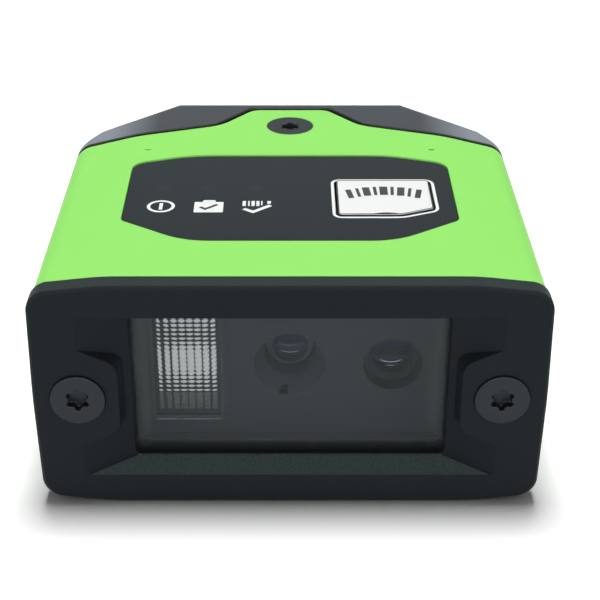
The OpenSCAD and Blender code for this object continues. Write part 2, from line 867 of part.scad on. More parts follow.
// Control panel and the trigger key with its switch
module control_panel() {
    color("#3c4043") from_front() along_z(panel_floor, panel_top) difference() {
        rounded(inset(panel_points, 0.1), shrink(panel_radii, 0.1));
        rounded(inset(key_points, -key_gap), key_radii);
    }
}

module trigger_key() {
    color("#f2f4f3") from_front() {
        along_z(key_lip_top, key_top) rounded(key_points, key_radii);
        along_z(key_lip_bottom, key_lip_top) rounded(inset(key_points, -key_lip), key_radii);
    }
}

switch_top = panel_board_top + switch_h;
plunger_bottom = panel_board_top + 1;

module switch_plunger() {
    color("#d8d2c4") from_front()
        rod_z(switch_at.x, switch_at.y, plunger_d / 2, plunger_bottom, key_lip_bottom);
}

module switch_base() {
    color("#2b2c2e") from_front() difference() {
        along_z(panel_board_top, switch_top) translate(switch_at) square(switch_w, center = true);
        rod_z(
            switch_at.x, switch_at.y, plunger_d / 2 + fit_gap,
            plunger_bottom - key_travel - 0.2, switch_top + over
        );
    }
}

module light_pipes() {
    pipe_z = panel_board_top + led_t;
    color("#dfe6e8", 0.6) from_front() status_places()
        translate([0, 0, pipe_z]) cylinder(d = pipe_d, h = panel_floor - pipe_z);
}

module status_leds() {
    color("#f4e9c8") from_front() status_places()
        translate([-0.8, -0.4, panel_board_top]) cube([1.6, 0.8, led_t]);
}

module panel_board() {
    color("#1f6b3a") from_front() along_z(panel_board_bottom, panel_board_top) difference() {
        translate([-panel_board_w / 2, panel_board_y])
            square([panel_board_w, panel_board_end_y - panel_board_y]);
        for (p = panel_boss_places) {
            translate(p) circle(panel_screw_r + fit_gap);
        }
    }
}

module panel_screws() {
    color("#a9adb0") from_front() for (p = panel_boss_places) {
        rod_z(p.x, p.y, panel_screw_r, panel_board_bottom, panel_board_top + panel_screw_l - 0.4);
        rod_z(p.x, p.y, 1.6 * panel_screw_r, panel_board_bottom - 0.9, panel_board_bottom);
    }
}

// Flat ribbon that joins the panel board to the main board
module panel_ribbon() {
    ribbon_x = -panel_w / 4;
    ribbon_y = panel_board_end_y - 1.5;
    color("#e8e6de") from_front() block(
        ribbon_x - ribbon_w / 2, ribbon_x + ribbon_w / 2, ribbon_y, ribbon_y + ribbon_t,
        main_board_top, panel_board_bottom
    );
}

// Optical chassis: the frame behind the window that holds lens, lights and aimer
chassis_half_w = opening_w / 2 + spigot_wall + 0.1;
chassis_half_h = opening_h / 2 + spigot_wall + 0.4;
chamber_w = array_w + 2.4;
chamber_h = 2 * stack_half_h - 1;
array_lap = 0.8;
array_flange_t = 0.8;

module chassis_tray() {
    wide_x = opening_w / 2;
    wide_z = opening_h / 2;
    plan = [
        [-wide_x, chassis_y - 0.01], [wide_x, chassis_y - 0.01],
        [wide_x - tray_d, plate_y], [-wide_x + tray_d, plate_y]
    ];
    side = [
        [chassis_y - 0.01, axis_z - wide_z], [plate_y, axis_z - wide_z + 0.4 * tray_d],
        [plate_y, axis_z + wide_z - 0.4 * tray_d], [chassis_y - 0.01, axis_z + wide_z]
    ];
    intersection() {
        along_z(0, body_h) polygon(plan);
        rotate([90, 0, 90]) linear_extrude(body_w, center = true) polygon(side);
    }
}

module chassis_side_plan(x, w, h) {
    translate([x, optics_z]) square([w, h], center = true);
}

module optical_chassis() {
    cone_l = 2.8;
    bore_r = barrel_d / 2 + 0.3;
    color("#45494b") from_front() difference() {
        union() {
            along_y(chassis_y, chassis_end_y)
                translate([0, axis_z]) square([2 * chassis_half_w, 2 * chassis_half_h], center = true);
            block(
                -shoulder_w / 2 + 3, shoulder_w / 2 - 3, chassis_y + 1, chassis_end_y - 1,
                floor_z, axis_z - chassis_half_h + 0.1
            );
        }
        chassis_tray();
        along_y(plate_y - over, chassis_end_y)
            chassis_side_plan(-side_x, array_w + 2 * fit_gap, array_h + 2 * fit_gap);
        along_y(plate_back_y, plate_back_y + array_flange_t + 0.1)
            chassis_side_plan(-side_x, chamber_w, array_h + 2 * array_lap + 2 * fit_gap);
        along_y(plate_back_y, chassis_end_y + over) chassis_side_plan(-side_x, chamber_w, chamber_h);
        translate([0, plate_y, optics_z]) rotate([-90, 0, 0])
            cylinder(r1 = camera_d / 2, r2 = bore_r, h = cone_l);
        rod_y(0, optics_z, camera_d / 2, plate_y - over, plate_y + 0.01);
        rod_y(0, optics_z, bore_r, plate_y, chassis_end_y + over);
        block(
            -1.3, -0.3, plate_y - over, plate_y + 0.9,
            optics_z - camera_d / 2 + 0.1, optics_z - camera_d / 2 + 1
        );
        rod_y(side_x, optics_z, aimer_d / 2, plate_y - over, plate_back_y + 0.6);
        rod_y(side_x, optics_z, aimer_body_d / 2 + slide_gap, plate_y, chassis_end_y + over);
    }
}

// Ridges side by side along +X, each a slice of a circle, with their tops towards -Y
module ridges(count, length, ridge_r) {
    pitch = length / count;
    translate([0, -plate_t]) square([length, plate_t]);
    intersection() {
        translate([0, -plate_t - 2 * pillow_t]) square([length, plate_t + 2 * pillow_t]);
        for (i = [0:count - 1]) {
            translate([(i + 0.5) * pitch, ridge_r - plate_t - pillow_t]) circle(ridge_r);
        }
    }
}

// Illumination lens: a clear block with a grid of small pillow lenses on its front
module illumination_lens() {
    grid_w = array_w - 2 * array_side;
    grid_h = array_h - 2 * array_end;
    color("#dfe6e8", 0.6) from_front() {
        translate([-side_x - grid_w / 2, plate_back_y, optics_z - grid_h / 2]) intersection() {
            linear_extrude(grid_h) ridges(array_columns, grid_w, column_r);
            rotate([90, 0, 90]) linear_extrude(grid_w)
                translate([0, grid_h]) rotate(-90) ridges(array_rows, grid_h, row_r);
        }
        along_y(plate_y, plate_back_y) chassis_side_plan(-side_x, array_w, array_h);
        along_y(plate_back_y, plate_back_y + array_flange_t)
            chassis_side_plan(-side_x, array_w + 2 * array_lap, array_h + 2 * array_lap);
    }
}

module illumination_leds() {
    color("#f4e9c8") from_front() for (x = [-1, 1], z = [-1:1]) {
        translate([-side_x + 2.2 * x, chassis_end_y - led_t / 2, optics_z + 3.6 * z])
            cube([2.4, led_t, 2.4], center = true);
    }
}

module stack_board(x0, x1) {
    block(x0, x1, chassis_end_y, chassis_end_y + board_t, axis_z - stack_half_h, axis_z + stack_half_h);
}

module led_board() {
    color("#1f6b3a") from_front() stack_board(-chassis_half_w + 0.8, -holder_half_w - 0.3);
}

module aimer_board() {
    color("#1f6b3a") from_front() stack_board(holder_half_w + 0.3, chassis_half_w - 0.8);
}

// Lens: a stepped barrel with its front glass, screwed into a holder on the sensor board
barrel_y = plate_y + barrel_back;
barrel_end_y = barrel_y + barrel_l;
lens_seat_y = barrel_y + 1.5;

module turned(z) {
    translate([0, 0, z]) rotate([-90, 0, 0]) rotate_extrude() children();
}

module lens_barrel() {
    barrel_r = barrel_d / 2;
    lens_r = lens_d / 2;
    color("#35383b") from_front() turned(optics_z) polygon([
        [lens_r + slide_gap, barrel_y],
        [barrel_r - 0.35, barrel_y],
        [barrel_r - 0.35, barrel_y + 0.6],
        [barrel_r, barrel_y + 0.6],
        [barrel_r, barrel_end_y],
        [0.75 * lens_r, barrel_end_y],
        [0.75 * lens_r, lens_seat_y],
        [lens_r + slide_gap, lens_seat_y]
    ]);
}

module lens_glass() {
    dome_r = 1.25 * lens_d;
    color("#3a3c66", 0.5) from_front() intersection() {
        rod_y(0, optics_z, lens_d / 2, barrel_y, lens_seat_y);
        translate([0, barrel_y + 0.2 + dome_r, optics_z]) sphere(dome_r);
    }
}

module lens_holder() {
    pocket = 9;
    color("#26282a") from_front() difference() {
        block(
            -holder_half_w, holder_half_w, chassis_end_y, sensor_board_y,
            axis_z - stack_half_h, axis_z + stack_half_h
        );
        rod_y(0, optics_z, barrel_d / 2 + slide_gap, chassis_end_y - over, sensor_board_y);
        block(
            -pocket / 2, pocket / 2, max(barrel_end_y, chassis_end_y + 1.5), sensor_board_y + over,
            optics_z - pocket / 2, optics_z + pocket / 2
        );
    }
}

module image_sensor() {
    half_w = sensor_w / 2;
    half_h = sensor_h / 2;
    color("#1c2a44") from_front() block(
        -half_w, half_w, sensor_board_y - sensor_t, sensor_board_y,
        optics_z - half_h, optics_z + half_h
    );
}

module sensor_board() {
    color("#1f6b3a") from_front() block(
        -holder_half_w - 3, holder_half_w + 3, sensor_board_y, sensor_board_y + board_t,
        axis_z - stack_half_h, axis_z + stack_half_h
    );
}

// Ribbon from the back of the sensor board, over and down to the main board
module sensor_ribbon() {
    back_y = sensor_board_y + board_t;
    bend_y = main_board_y + 1;
    ribbon_z = axis_z - stack_half_h + 1;
    points = [
        [back_y, ribbon_z],
        [bend_y - ribbon_t, ribbon_z],
        [bend_y - ribbon_t, main_board_top],
        [bend_y, main_board_top],
        [bend_y, ribbon_z + ribbon_t],
        [back_y, ribbon_z + ribbon_t]
    ];
    color("#e8e6de") from_front() rotate([90, 0, 90]) linear_extrude(8, center = true) polygon(points);
}

// Aimer: a body in the chassis with a lens in front and an emitter behind
aimer_y = plate_back_y + 0.6;
aimer_lens_d = aimer_body_d - 1.6;
aimer_lens_y = aimer_y + 2.3;
emitter_d = 3.3;
emitter_l = 3.5;

module aimer_body() {
    color("#26282a") from_front() difference() {
        rod_y(side_x, optics_z, aimer_body_d / 2, aimer_y, chassis_end_y);
        rod_y(side_x, optics_z, aimer_lens_d / 2 + slide_gap, aimer_y - over, aimer_lens_y);
        rod_y(side_x, optics_z, emitter_d / 2 + slide_gap, aimer_y, chassis_end_y + over);
    }
}

module aimer_lens() {
    dome_r = 1.1 * aimer_lens_d;
    color("#3a4a7a", 0.5) from_front() intersection() {
        rod_y(side_x, optics_z, aimer_lens_d / 2, aimer_y, aimer_lens_y);
        translate([side_x, aimer_y + 0.6 + dome_r, optics_z]) sphere(dome_r);
    }
}

module aimer_emitter() {
    color("#b8964f") from_front()
        rod_y(side_x, optics_z, emitter_d / 2, chassis_end_y - emitter_l, chassis_end_y);
}

// Main board with its screws, processor and heat pad
module main_board() {
    half = main_board_w / 2;
    board_cut = 0.55 * chamfer_l;
    end_half = half - 0.45 * chamfer_l;
    points = [
        [-half, main_board_y], [half, main_board_y], [half, main_board_end_y - board_cut],
        [end_half, main_board_end_y], [-end_half, main_board_end_y], [-half, main_board_end_y - board_cut]
    ];
    color("#1f6b3a") from_front() along_z(main_board_bottom, main_board_top) difference() {
        polygon(points);
        for (p = standoff_places) {
            translate(p) circle(board_screw_r + fit_gap);
        }
    }
}

module board_screws() {
    color("#a9adb0") from_front() for (p = standoff_places) {
        rod_z(p.x, p.y, board_screw_r, floor_z + 0.6, main_board_top);
        rod_z(p.x, p.y, 1.9 * board_screw_r, main_board_top, main_board_top + 1.2);
    }
}

module processor() {
    color("#202224") from_front() along_z(main_board_bottom - 1, main_board_bottom)
        translate(processor_at) square(processor_w, center = true);
}

module heat_pad() {
    color("#8fa3b5") from_front() along_z(pedestal_z, pedestal_z + pad_t)
        translate(processor_at) square(processor_w, center = true);
}

// Rear connectors: a round threaded one with pins, and a data port, both on the rear board
module io_board() {
    color("#1f6b3a") from_front() block(
        -round_x - 7, port_x + 4, io_board_y - board_t, io_board_y, main_board_top, column_z - 0.2
    );
}

insert_r = thread_d / 2 - 1.4;
insert_end_y = thread_y + 0.6;

module io_shell() {
    key_w = 1;
    color("#b9bcbe") from_front() difference() {
        union() {
            rod_y(-round_x, axis_z, thread_d / 2 - slide_gap, io_rear_y, flange_y);
            along_y(flange_y, thread_y)
                translate([-round_x, axis_z]) circle(d = flange_af / cos(30), $fn = 6);
            rod_y(-round_x, axis_z, thread_d / 2, thread_y, io_end_y);
        }
        rod_y(-round_x, axis_z, insert_r + slide_gap, io_rear_y - over, io_end_y + over);
        block(
            -round_x - key_w / 2, -round_x + key_w / 2, insert_end_y, io_end_y + over,
            axis_z, axis_z + insert_r + 0.5
        );
    }
}

module pin_places() {
    for (i = [0:7]) {
        translate([-round_x + 3.05 * cos(45 * i), axis_z + 3.05 * sin(45 * i)]) children();
    }
    for (i = [0:3]) {
        translate([-round_x + 1.2 * cos(90 * i + 22), axis_z + 1.2 * sin(90 * i + 22)]) children();
    }
}

pin_r = 0.38;

module io_insert() {
    color("#1b1c1e") from_front() along_y(io_rear_y, insert_end_y) difference() {
        translate([-round_x, axis_z]) circle(insert_r);
        pin_places() circle(pin_r + 0.02);
    }
}

module io_pins() {
    color("#d6b25c") from_front() along_y(io_board_y, io_end_y - 1.6) pin_places() circle(pin_r);
}

module io_seal() {
    color("#151617") from_front() along_y(body_l, flange_y) translate([-round_x, axis_z]) difference() {
        circle(d = flange_af - 0.4);
        circle(d = thread_d + 2 * slide_gap);
    }
}

module io_nut() {
    color("#b9bcbe") from_front() along_y(inner_rear_y - io_nut_t, inner_rear_y)
        translate([-round_x, axis_z]) difference() {
            circle(d = flange_af / cos(30), $fn = 6);
            circle(d = thread_d);
        }
}

module port_shell() {
    color("#b9bcbe") from_front() along_y(io_board_y, port_y) difference() {
        port_plan(0);
        port_plan(-0.3);
    }
}

module port_tongue() {
    color("#1b1c1e") from_front() {
        along_y(io_board_y, io_board_y + 1.5) port_plan(-0.35);
        block(
            port_x - 0.35, port_x + 0.35, io_board_y + 1.5, port_y - 0.8,
            axis_z - port_l / 2 + 1.1, axis_z + port_l / 2 - 1.1
        );
    }
}

front_bezel();
front_screws();
front_seal();
window_gasket();
front_window();
main_housing();
mount_inserts();
top_cover();
cover_seal();
cover_screw();
control_panel();
trigger_key();
switch_plunger();
switch_base();
light_pipes();
status_leds();
panel_board();
panel_screws();
panel_ribbon();
optical_chassis();
illumination_lens();
illumination_leds();
led_board();
lens_barrel();
lens_glass();
lens_holder();
image_sensor();
sensor_board();
sensor_ribbon();
aimer_body();
aimer_lens();
aimer_emitter();
aimer_board();
main_board();
board_screws();
processor();
heat_pad();
io_board();
io_shell();
io_insert();
io_pins();
io_seal();
io_nut();
port_shell();
port_tongue();
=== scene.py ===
"""Looks of a compact fixed barcode reader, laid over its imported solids."""
import math

import bpy
import numpy as np
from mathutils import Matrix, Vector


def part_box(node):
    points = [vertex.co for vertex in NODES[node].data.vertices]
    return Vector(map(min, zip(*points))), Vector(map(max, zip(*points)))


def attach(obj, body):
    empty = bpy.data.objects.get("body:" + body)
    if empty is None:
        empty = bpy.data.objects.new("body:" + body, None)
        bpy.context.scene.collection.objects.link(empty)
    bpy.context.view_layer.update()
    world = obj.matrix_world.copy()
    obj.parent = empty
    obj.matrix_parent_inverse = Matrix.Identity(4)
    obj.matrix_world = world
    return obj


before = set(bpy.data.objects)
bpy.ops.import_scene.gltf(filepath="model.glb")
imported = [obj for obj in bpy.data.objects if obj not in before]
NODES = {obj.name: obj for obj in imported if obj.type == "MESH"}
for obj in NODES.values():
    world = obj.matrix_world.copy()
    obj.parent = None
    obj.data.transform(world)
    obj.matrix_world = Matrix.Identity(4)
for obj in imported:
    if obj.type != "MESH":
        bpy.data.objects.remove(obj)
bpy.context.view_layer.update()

bl_info = {
    "name": "Fixed Barcode Reader",
    "version": (1, 0, 0),
    "blender": (4, 5, 0),
    "location": "View3D > Sidebar > Reader",
    "description": "Dresses the packed solids of a fixed barcode reader and sets its studio",
    "category": "Object",
}

MM = 0.001
PANEL_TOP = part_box("control_panel")[1].z
KEY_LOW, KEY_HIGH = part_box("trigger_key")
KEY_LIP = 0.8 * MM
KEY_LEFT, KEY_RIGHT = KEY_LOW.x + KEY_LIP, KEY_HIGH.x - KEY_LIP
KEY_FRONT, KEY_BACK = KEY_LOW.y + KEY_LIP, KEY_HIGH.y - KEY_LIP
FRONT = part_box("front_bezel")[0].y
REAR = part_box("main_housing")[1].y

# Light paths that show the white surroundings
SEEN = "Camera", "Glossy", "Transmission"

# Camera fitted to the photograph, in pixels, degrees and metres
PHOTO_PIXELS, FOCAL_PIXELS, SHIFT_PIXELS = 600, 1400, 10
SENSOR_MM = 36.0
CAMERA_PITCH = 29.2
CAMERA_BACK, CAMERA_UP = 132.17 * MM, 101.07 * MM

# Soft square lamps: name, place, target, width in metres and power in watts
TOP_LAMP = "top_soft", (0.0, 0.06, 0.7), (0, 0, 0), 0.18, 3.8
LOW_LAMPS = (
    ("front_soft", (0.0, -0.7, 0.15), (0, 0, 0.01), 0.2, 1.7),
    ("left_soft", (-0.6, -0.4, 0.2), (0, 0, 0.01), 0.3, 0.7),
    ("right_soft", (0.6, -0.4, 0.2), (0, 0, 0.01), 0.3, 0.7),
)


def srgb(r, g, b):
    """Linear colour of an sRGB colour given in bytes."""
    c = np.array([r, g, b]) / 255
    return tuple(np.where(c <= 0.04045, c / 12.92, ((c + 0.055) / 1.055) ** 2.4)) + (1.0,)


# Sizes and colours


def colour_property(name, description, rgb):
    return bpy.props.FloatVectorProperty(
        name=name, description=description, subtype="COLOR", size=4, min=0, max=1, default=srgb(*rgb)
    )


def length_property(name, description, mm):
    return bpy.props.FloatProperty(
        name=name, description=description, unit="LENGTH", min=0, default=mm * MM
    )


class ReaderColours(bpy.types.PropertyGroup):
    """Colours of the finishes"""

    bezel: colour_property("Bezel", "Moulded plastic of the front bezel", (34, 38, 41))
    cover: colour_property("Cover", "Satin paint of the top cover", (153, 236, 112))
    housing: colour_property("Housing", "Slate paint of the housing", (70, 75, 81))
    panel: colour_property("Panel", "Film of the control panel", (47, 52, 55))
    print_white: colour_property("Print", "White print on the panel", (246, 248, 247))
    key: colour_property("Key", "Plastic of the trigger key", (246, 248, 247))
    # Dark print on the key; the same colour paints the shade of the key's dent and edge.
    key_mark_and_shade: colour_property("Key mark", "Dark print on the key", (58, 66, 66))
    screw: colour_property("Screws", "Dark finish of the case screws", (43, 47, 50))
    chassis: colour_property("Chassis", "Plastic behind the window", (82, 88, 92))


class ReaderSizes(bpy.types.PropertyGroup):
    """Sizes of the printed marks"""

    line: length_property("Line", "Width of the printed outline round the key", 0.37)
    outline_gap: length_property("Outline gap", "Gap between the key and its printed outline", 0.3)
    icon: length_property("Icon", "Width of each status icon", 3.38)
    icon_pitch: length_property("Icon pitch", "Distance between the status icons", 5.77)
    print_lift: length_property("Print lift", "Height of the print above its surface", 0.02)
    grid_width: length_property("Grid width", "Width of the field of light spots", 7.2)
    grid_height: length_property("Grid height", "Height of the field of light spots", 12.3)
    grid_rise: length_property("Grid rise", "Height of the field's middle above the lens's middle", 0.14)
    frame_width: length_property("Frame width", "Width inside the frame round the spots", 7.9)
    frame_height: length_property("Frame height", "Height inside the frame round the spots", 13.8)
    columns: bpy.props.IntProperty(name="Columns", description="Columns of small lenses", min=1, default=8)
    rows: bpy.props.IntProperty(name="Rows", description="Rows of small lenses", min=1, default=21)


# Shader expressions


class Wire:
    """A value in a material's nodes; arithmetic on it adds Math nodes."""

    def __init__(self, finish, socket):
        self.finish = finish
        self.socket = socket

    def _math(self, operation, a, b):
        made = self.finish.node("ShaderNodeMath", {"operation": operation}, {0: a, 1: b})
        return Wire(self.finish, made.outputs[0])

    def __add__(self, other):
        return self._math("ADD", self, other)

    __radd__ = __add__

    def __sub__(self, other):
        return self._math("SUBTRACT", self, other)

    def __rsub__(self, other):
        return self._math("SUBTRACT", other, self)

    def __mul__(self, other):
        return self._math("MULTIPLY", self, other)

    __rmul__ = __mul__

    def __truediv__(self, other):
        return self._math("DIVIDE", self, other)

    def __rtruediv__(self, other):
        return self._math("DIVIDE", other, self)

    def clamp(self):
        """The value held between 0 and 1."""
        return self._math("MINIMUM", self._math("MAXIMUM", self, 0.0), 1.0)

    def size(self):
        """The value without its sign."""
        return self._math("ABSOLUTE", self, 0.0)

    def part(self):
        """What is left of the value above the whole number below it."""
        return self._math("FRACT", self, 0.0)

    def root(self):
        """Square root of the value."""
        return self._math("SQRT", self, 0.0)

    def band(self, middle, half, soft):
        """1 within half a width of a middle, falling to 0 over a soft edge."""
        return ((half + soft - (self - middle).size()) / soft).clamp()


class Nodes:
    """A tree of shader nodes."""

    def __init__(self, tree):
        self.tree = tree

    def node(self, kind, settings=None, sockets=None):
        """A node of that kind, with its settings made first and then its sockets set or linked."""
        made = self.tree.nodes.new(kind)
        for key, value in (settings or {}).items():
            if key == "stops":
                for _ in value[2:]:
                    made.color_ramp.elements.new(1.0)
                for stop, (place, colour) in zip(made.color_ramp.elements, value):
                    stop.position, stop.color = place, colour
            else:
                setattr(made, key, value)
        for key, value in (sockets or {}).items():
            self.feed(made.inputs[key], value)
        return made

    def feed(self, socket, value):
        """Links a wire or a node's socket to a socket, or sets a constant on it."""
        if isinstance(value, Wire):
            value = value.socket
        if isinstance(value, bpy.types.NodeSocket):
            self.tree.links.new(value, socket)
        else:
            socket.default_value = value

    def ray(self, *kinds):
        """1 for light paths of those kinds, else 0."""
        path = self.node("ShaderNodeLightPath")
        return sum(Wire(self, path.outputs[f"Is {kind} Ray"]) for kind in kinds).clamp()


class Finish(Nodes):
    """A material built round one Principled shader."""

    def __init__(self, name):
        self.material = bpy.data.materials.new(name)
        self.material.use_nodes = True
        super().__init__(self.material.node_tree)
        self.shader = self.tree.nodes["Principled BSDF"]
        self.output = self.tree.nodes["Material Output"]

    def put(self, **inputs):
        """Sets the shader's inputs, with underscores for spaces in their names."""
        for key, value in inputs.items():
            self.feed(self.shader.inputs[key.replace("_", " ")], value)
        return self

    def place(self):
        """Object coordinates as a vector socket."""
        return self.node("ShaderNodeTexCoord").outputs["Object"]

    def axis(self, name):
        """One Object coordinate in metres."""
        split = self.node("ShaderNodeSeparateXYZ", None, {"Vector": self.place()})
        return Wire(self, split.outputs[name])

    def noise(self, size, detail=2.0, roughness=0.5):
        """Noise from 0 to 1 with blotches of about that size in metres."""
        made = self.node(
            "ShaderNodeTexNoise",
            None,
            {"Vector": self.place(), "Scale": 1 / size, "Detail": detail, "Roughness": roughness},
        )
        return Wire(self, made.outputs["Fac"])

    def blend(self, factor, a, b):
        """A colour between a and b."""
        made = self.node(
            "ShaderNodeMix", {"data_type": "RGBA"}, {"Factor": factor, 6: a, 7: b}
        )
        return made.outputs[2]

    def ramp(self, value, stops):
        """A colour from stops of (place, colour) along a value from 0 to 1."""
        return self.node("ShaderNodeValToRGB", {"stops": stops}, {"Fac": value}).outputs["Color"]

    def level(self, value, stops):
        """A number from stops of (place, number) along a value from 0 to 1."""
        return Wire(self, self.ramp(value, [(t, (n, n, n, 1.0)) for t, n in stops]))

    def mottled(self, colour, spread):
        """A colour with slight blotches of tone."""
        return self.blend(self.noise(6 * MM, 3.0), shade(colour, 1 - spread), shade(colour, 1 + spread))

    def grain(self, size, roughness, depth, edge, swing=0.12):
        """Fine grain: it varies the roughness and stands up by a depth, over softened edges."""
        fine = self.noise(size, 2.0, 0.6)
        return self.put(Roughness=roughness + swing * (fine - 0.5), Normal=self.relief(fine, depth, edge))

    def relief(self, height, distance, edge):
        """Normal from a height field, over edges softened by a radius in metres."""
        soft = self.node("ShaderNodeBevel", {"samples": 6}, {"Radius": edge})
        bump = self.node(
            "ShaderNodeBump",
            None,
            {"Height": height, "Distance": distance, "Strength": 1.0, "Normal": soft.outputs[0]},
        )
        return bump.outputs[0]


# Finishes


def shade(colour, factor):
    """A colour made darker or lighter."""
    return tuple(min(1.0, c * factor) for c in colour[:3]) + (1.0,)


def grained(name, colour, roughness, grain, depth, edge, spread=0.1):
    """Plastic or paint with a fine grain, slight blotches of tone and softened edges."""
    finish = Finish(name)
    finish.put(Base_Color=finish.mottled(colour, spread))
    return finish.grain(grain, roughness, depth, edge).material


def brushed(name, colour, roughness, metallic, edge=0.1 * MM):
    """Metal with faint machining marks and softened edges."""
    finish = Finish(name)
    fine = finish.noise(0.25 * MM, 4.0, 0.7)
    finish.put(
        Base_Color=finish.blend(fine, shade(colour, 0.85), shade(colour, 1.15)),
        Roughness=roughness + 0.2 * (fine - 0.5),
        Metallic=metallic,
        Normal=finish.relief(fine, 0.004 * MM, edge),
    )
    return finish.material


def clear(name, colour, alpha, roughness):
    """Clear glass or plastic, seen through by its alpha."""
    finish = Finish(name)
    fine = finish.noise(3 * MM, 2.0)
    finish.put(Base_Color=colour, Roughness=roughness + 0.02 * fine, Alpha=alpha)
    return finish.material


def box_middle(node):
    """Middle of a CAD node's box."""
    low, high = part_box(node)
    return (low + high) / 2


def bezel_with_painted_light(colour):
    """Moulded plastic with painted light: lighter on the bezel's top, and lighter with a sparkle on the
    pocket's lower slope.

    In mm, the slope is where z is near 4.3 and the depth behind the front is under 3, within
    a half width that starts at 23.4 and narrows by 2.07 per mm of depth.
    """
    finish = Finish("bezel_plastic")
    x, y, z = (finish.axis(name) / MM for name in "XYZ")
    depth = y - FRONT / MM
    within = ((23.4 - 2.07 * depth - x.size()) * 5).clamp()
    # Painted light: the pocket's lower slope is lighter, as if lit, with a fine sparkle.
    lit_sill = z.band(4.3, 0.75, 0.1) * depth.band(1.5, 1.4, 0.1) * within
    # Painted light: the bezel's top strip is lighter, where it faces the light.
    lit_crown = ((depth - 0.25) * 5).clamp() * ((z - 27) * 5).clamp()
    plain = finish.blend(lit_crown, finish.mottled(colour, 0.08), srgb(52, 60, 60))
    sparkle = finish.noise(0.3 * MM, 2.0, 0.7)
    sill_painted_light = finish.blend(sparkle, srgb(52, 63, 62), srgb(88, 102, 100))
    finish.put(Base_Color=finish.blend(lit_sill, plain, sill_painted_light), Specular_IOR_Level=0.05)
    return finish.grain(0.12 * MM, 0.5, 0.012 * MM, 0.18 * MM).material


def slate_with_painted_shade_and_sheen(colour):
    """Slate paint with painted shade and sheen: black as painted shade in the seam behind the cover, and a
    painted sheen where the rear corners bend.

    The seam is where a point lies less than 1 mm behind the cover's edge, which runs
    from (28.5, 16.7) by (9.4, 10.1) to (5.1, 4.5) in mm across and forward of the rear.
    """
    finish = Finish("housing_paint_shade_sheen")
    across = finish.axis("X").size() / MM
    ahead = (REAR - finish.axis("Y")) / MM
    height = finish.axis("Z") / MM
    upper = ((height - 10) * 10).clamp()
    side = (10.1 + 0.3455 * (across - 9.4) - ahead) * 0.945
    tongue = (5.6 * (across - 9.4) - 4.3 * (ahead - 10.1)) / 7.06
    beside = ((1 - tongue) * 10).clamp() * ((ahead - 3.5) * 10).clamp()
    # Painted shade: the seam's wall and a strip of the deck beside it are black, where shade falls in the
    # groove.
    seam = (((1 - side) * 10).clamp() + beside).clamp() * upper
    # Painted sheen: the bend of the rear corners is lighter, as a soft reflection.
    bend = ((across - 17.8) / 6.5).clamp() * ((height - 24) / 3).clamp()
    paint = finish.blend(bend, finish.mottled(colour, 0.04), srgb(138, 145, 153))
    finish.put(Base_Color=finish.blend(seam, paint, srgb(14, 17, 15)), Specular_IOR_Level=0.35)
    return finish.grain(0.2 * MM, 0.4, 0.006 * MM, 0.4 * MM).material


def cover_with_painted_shade(colour):
    """Satin paint, with painted shade: dark on the wall of the key's opening."""
    finish = Finish("cover_paint_painted_shade")
    x, y = (
        (finish.axis(name) / MM).band((a + b) / 2 / MM, (b - a) / 2 / MM - 0.3, 0.05)
        for name, a, b in (("X", KEY_LOW.x, KEY_HIGH.x), ("Y", KEY_LOW.y, KEY_HIGH.y))
    )
    paint = finish.mottled(colour, 0.015)
    # Painted shade: the wall of the key's opening is dark.
    finish.put(Base_Color=finish.blend(x * y, paint, srgb(30, 33, 35)), Specular_IOR_Level=0.2)
    return finish.grain(0.3 * MM, 0.45, 0.004 * MM, 0.3 * MM).material


def key_with_painted_shade(colour):
    """White key with painted shade: dark sides below its top edge."""
    finish = Finish("key_plastic_painted_shade")
    # Painted shade: the key's sides below its top edge are dark.
    top = ((finish.axis("Z") - KEY_HIGH.z) / MM * 20 + 2).clamp()
    finish.put(Base_Color=finish.blend(top, srgb(52, 56, 59), tuple(colour)))
    return finish.grain(0.3 * MM, 0.35, 0.003 * MM, 0.06 * MM).material


def chassis_with_painted_light(colour):
    """Plastic behind the window: painted light makes it lighter low in the camera's cone; painted shade
    darkens the notch and the bore.
    """
    finish = Finish("chassis_plastic_painted_light")
    x, z = finish.axis("X") / MM, finish.axis("Z") / MM
    aimer, camera = box_middle("aimer_body") / MM, box_middle("lens_barrel") / MM
    u, v = x - aimer.x, z - aimer.z
    # Painted shade: the aimer's bore is darker.
    bore = (u * u + v * v).root().band(0, 3.46, 0.02)
    u, v = x - camera.x, z - camera.z
    cone = (u * u + v * v).root().band(0, 4.16, 0.02)
    # Painted shade: the notch below the camera is darker.
    notch = u.band(-0.8, 0.48, 0.05) * v.band(-3.9, 0.24, 0.05)
    # Painted light: lit copies of the plastic, lighter towards the bottom of the camera's cone.
    cone_painted_light = finish.blend((v / -4).clamp(), shade(colour, 1.1), shade(colour, 2.0))
    tone = finish.blend(cone, finish.mottled(colour, 0.03), cone_painted_light)
    tone = finish.blend(bore, tone, srgb(70, 76, 79))
    finish.put(Base_Color=finish.blend(notch, tone, srgb(48, 52, 54)), Specular_IOR_Level=0.2)
    return finish.grain(0.1 * MM, 0.6, 0.004 * MM, 0.1 * MM).material


# Half height of a painted light spot in its cell, by its row's place from the top, and its brightness
SPOT_HEIGHTS = (
    (0.02, 0.36), (0.07, 0.35), (0.12, 0.29), (0.17, 0.25), (0.21, 0.24), (0.26, 0.32),
    (0.31, 0.5), (0.36, 0.95), (0.55, 0.95), (0.6, 0.48), (0.64, 0.4), (0.69, 0.32),
    (0.74, 0.24), (0.79, 0.19), (0.83, 0.9), (1.0, 0.9),
)
SPOT_LIGHT = (0.0, 1.0), (0.79, 1.0), (0.82, 0.12), (1.0, 0.06)


